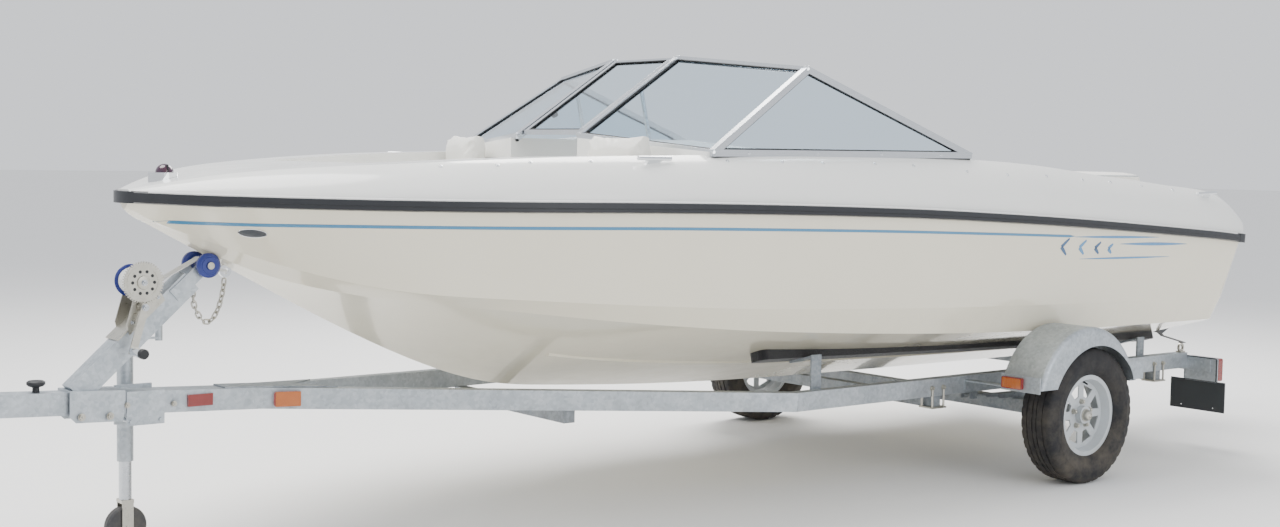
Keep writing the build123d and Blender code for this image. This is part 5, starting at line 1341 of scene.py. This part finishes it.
# Helm: gauges with plain ticks, switches, wheel grip and cap, throttle; speakers in the side panels
helm = {
    "lookFrom": 1.20, "dials": [(-0.325, 1.388, 0.038), (-0.430, 1.394, 0.044), (-0.535, 1.388, 0.038)],
    "smallDials": [(-0.272, 1.340, 0.017), (-0.588, 1.340, 0.017)],
    "switches": [-0.330, -0.360, -0.500, -0.530], "switchZ": 1.322, "lock": (-0.600, 1.392),
    "wheelAt": (1.440, -0.430, 1.270), "wheelLean": 20.0, "rim": 0.168, "grip": 0.0150, "swell": 0.0011,
    "fingers": 24, "throttle": (1.250, 1.130),
    "speakers": [(0.250, 1.000), (1.440, 0.930)], "speakerR": 0.082, "wire": 0.0016, "wireOut": 0.0072,
}
dial = {
    "bezel": [(0.86, -0.001), (1.06, -0.001), (1.08, 0.004), (1, 0.0085), (0.9, 0.0085), (0.86, 0.005)],
    "face": [(0, -0.001), (0.9, -0.001), (0.9, 0.0035), (0, 0.0038)],
    "needleCap": [(0, 0.0030), (0.11, 0.0030), (0.09, 0.0066), (0, 0.0070)],
    "needle": [(-0.18, -0.0016), (0.70, -0.0005), (0.70, 0.0005), (-0.18, 0.0016)],
    "needleAt": (215, 0.0045, 0.0008),  # degrees, how far out, thickness
    "sweep": (225, -270),  # first tick and turn to the last, in degrees
    "ticks": (24, 8), "largeOver": 0.03,  # on large and small dials, and the radius that parts them
    "tickLong": (0.17, 0.09), "tickAt": (0.8, 0.0040), "tickWide": (0.0012, 0.0008),
}
switch = {"plate": (0.006, 0.022, 0.034), "plateBack": 0.002, "rocker": (0.007, 0.014, 0.026),
          "rockerBack": 0.006, "tilt": 9}
throttle = {"base": (0.120, 0.014, 0.165), "baseOut": 0.005, "hubOut": 0.010, "hubUp": 0.01, "arm": 0.0075,
            "reach": ((0, 0.030, 0.01), (0.02, 0.038, 0.07), (0.035, 0.052, 0.13))}
speaker = {"rings": (0.15, 0.27, 0.39, 0.51, 0.63), "bars": 6, "barHalf": 0.78}
helmRows = {
    "lock": [(0, -0.002), (0.013, -0.002), (0.013, 0.003), (0.0105, 0.008), (0, 0.0085)],
    "cap": [(0, 0.004), (0.043, 0.004), (0.046, 0.008), (0.045, 0.016), (0.036, 0.023), (0.018, 0.0265),
            (0, 0.027)],
    "throttleHub": [(0, 0), (0.040, 0), (0.038, 0.018), (0.030, 0.024), (0, 0.025)],
    "throttleKnob": [(0, -0.018), (0.014, -0.016), (0.020, -0.004), (0.020, 0.010), (0.014, 0.020),
                     (0, 0.023)],
    "capRing": (0.0455, 0.012, 0.0014),  # radius, how far out, thickness
    "speakerRim": [(0.76, 0), (1, 0), (0.97, 0.006), (0.86, 0.0095), (0.76, 0.008)],
    "speakerCone": [(0, -0.001), (0.77, -0.001), (0.75, 0.003), (0.25, 0.0012), (0.15, 0.004), (0, 0.0048)],
}


def scaled(rows, r):  # profile whose radii are shares of r
    return [(r * share, height) for share, height in rows]


def onDash(dash, y, z):  # where a level look from the seat meets the dash
    frameAt = seatOn(dash, (helm["lookFrom"], y, z), (1, 0, 0))
    return None if frameAt is None else frameAt.translation


def makeDials(dash):
    bezels, faces, marks = meshes(3)
    (first, sweep), (tickAt, tickOut) = dial["sweep"], dial["tickAt"]
    needleTurn, needleOut, needleThick = dial["needleAt"]
    for y, z, r in helm["dials"] + helm["smallDials"]:
        place = onDash(dash, y, z)
        if place is None:
            continue
        frameAt = framed(place, (-1, 0, 0))
        lathe(bezels, scaled(dial["bezel"], r), frameAt, 48, True)
        lathe(faces, scaled(dial["face"], r), frameAt, 40)
        last = dial["ticks"][0 if r > dial["largeOver"] else 1]
        for k in range(last + 1):
            long = r * dial["tickLong"][0 if k % 4 == 0 else 1]
            turn = Matrix.Rotation(math.radians(first + sweep * k / last), 4, "Z")
            tick = frameAt @ turn @ Matrix.Translation((r * tickAt - long / 2, 0, tickOut))
            brick(marks, (long, *dial["tickWide"]), tick, 0.0002, 1)
        turned = frameAt @ Matrix.Rotation(math.radians(needleTurn), 4, "Z")
        slab(marks, scaled(dial["needle"], r), lifted(turned, needleOut), needleThick)
        lathe(marks, scaled(dial["needleCap"], r), frameAt, 18)
    makePiece("gaugeBezels", bezels, "chrome")
    makePiece("gaugeFaces", faces, "dialFace")
    makePiece("gaugeMarks", marks, "helmBlack")


def makeSwitches(dash):
    dark, steel = meshes(2)
    for y in helm["switches"]:
        place = onDash(dash, y, helm["switchZ"])
        if place is not None:
            plate = Matrix.Translation(place - Vector((switch["plateBack"], 0, 0)))
            rocker = Matrix.Translation(place - Vector((switch["rockerBack"], 0, 0)))
            rocker = rocker @ Matrix.Rotation(math.radians(switch["tilt"]), 4, "Y")
            brick(dark, switch["plate"], plate, 0.0015)
            brick(dark, switch["rocker"], rocker, 0.0020)
    place = onDash(dash, *helm["lock"])
    if place is not None:
        lathe(steel, helmRows["lock"], framed(place, (-1, 0, 0)), 28)
    makePiece("rockerSwitches", dark, "helmBlack")
    makePiece("startLock", steel, "chrome")


def makeWheelGrip():
    lean = math.radians(helm["wheelLean"])
    frameAt = framed(spot(*helm["wheelAt"]), (-math.cos(lean), 0, math.sin(lean)))
    grip, cap, ring = meshes(3)
    rings = []
    for a in turnAngles(144):
        thick = helm["grip"] + helm["swell"] * max(0.0, math.sin(a * helm["fingers"])) ** 2
        rings.append([frameAt @ polar(helm["rim"] + thick * math.cos(b), a, thick * math.sin(b))
                      for b in turnAngles(16)])
    skinned(grip, rings, True)
    lathe(cap, helmRows["cap"], frameAt, 40)
    ringRadius, ringOut, ringThick = helmRows["capRing"]
    pipe(ring, circle(frameAt, ringRadius, ringOut, 48), ringThick, 8, True)
    makePiece("wheelRimGrip", grip, "helmBlack", "helm_wheel", sharp=60)
    makePiece("wheelCap", cap, "helmBlack", "helm_wheel")
    makePiece("wheelCapRing", ring, "chrome", "helm_wheel")


def makeThrottle(panels):
    x, z = helm["throttle"]
    wall = seatOn(panels, (x, -0.3, z), (0, -1, 0))
    if wall is None:
        return
    dark, steel = meshes(2)
    y = wall.translation.y
    brick(dark, throttle["base"], at(x, y + throttle["baseOut"], z), 0.005, 3)
    hub = spot(x, y + throttle["hubOut"], z + throttle["hubUp"])
    lathe(dark, helmRows["throttleHub"], framed(hub, (0, 1, 0)), 36)
    arm = [spot(x + dx, y + dy, z + dz) for dx, dy, dz in throttle["reach"]]
    pipe(steel, smoothRun(arm, 6), throttle["arm"], 12, squash=0.7)
    lathe(dark, helmRows["throttleKnob"], framed(arm[-1], (0.2, 0.35, 0.9)), 28)
    makePiece("throttleBody", dark, "helmBlack")
    makePiece("throttleArm", steel, "chrome")


def makeSpeakers(panels):
    rims, cones = meshes(2)
    r, wire, out = helm["speakerR"], helm["wire"], helm["wireOut"]
    for side in (1, -1):
        for x, z in helm["speakers"]:
            frameAt = seatOn(panels, (x, side * 0.3, z), (0, side, 0))
            if frameAt is None:
                continue
            lathe(rims, scaled(helmRows["speakerRim"], r), frameAt, 56, True)
            for share in speaker["rings"]:
                pipe(rims, circle(frameAt, r * share, out, 36), wire, 6, True)
            for k in range(speaker["bars"]):
                a, reach = math.pi * k / speaker["bars"], r * speaker["barHalf"]
                pipe(rims, [frameAt @ polar(way * reach, a, out) for way in (1, -1)], wire, 6)
            lathe(cones, scaled(helmRows["speakerCone"], r), frameAt, 40)
    makePiece("speakerGrilles", rims, "trimWhite")
    makePiece("speakerCones", cones, "gasket")


dashSkin, panelSkin = surfaceOf("dash"), surfaceOf("liner_panels")
makeDials(dashSkin)
makeSwitches(dashSkin)
makeWheelGrip()
makeThrottle(panelSkin)
makeSpeakers(panelSkin)
print("stage: helm and cockpit fittings")


# Drive: bolts seated on the transom mount and on the leg
driveTrim = {
    "mountX": -2.2,
    "mountBolts": [(0.155, 0.500), (0.155, 0.640), (0.155, 0.780), (0.155, 0.880)],  # columns: y, z
    "legBolts": [(-1.62, 0.72), (-1.60, 0.62), (-1.80, 0.62), (-1.75, 0.72)],  # columns: x, z
    "mountAcross": 0.018,
    "legAcross": 0.013,
}


def makeDriveTrim():
    steel, legSteel = meshes(2)
    mount, leg = surfaceOf("drive_mount"), surfaceOf("drive_leg")
    for side in (1, -1):
        mountSeats = [seatOn(mount, (driveTrim["mountX"], side * y, z), (1, 0, 0))
                      for y, z in driveTrim["mountBolts"]]
        legSeats = [seatOn(leg, (x, side * 0.5, z), (0, -side, 0)) for x, z in driveTrim["legBolts"]]
        for bm, seats, across in ((steel, mountSeats, "mountAcross"), (legSteel, legSeats, "legAcross")):
            for frameAt in seats:
                if frameAt is not None:
                    bolt(bm, frameAt, driveTrim[across])
    makePiece("mountBolts", steel, "groundSteel")
    makePiece("driveBolts", legSteel, "groundSteel", "drive")


makeDriveTrim()
print("stage: drive bolts")
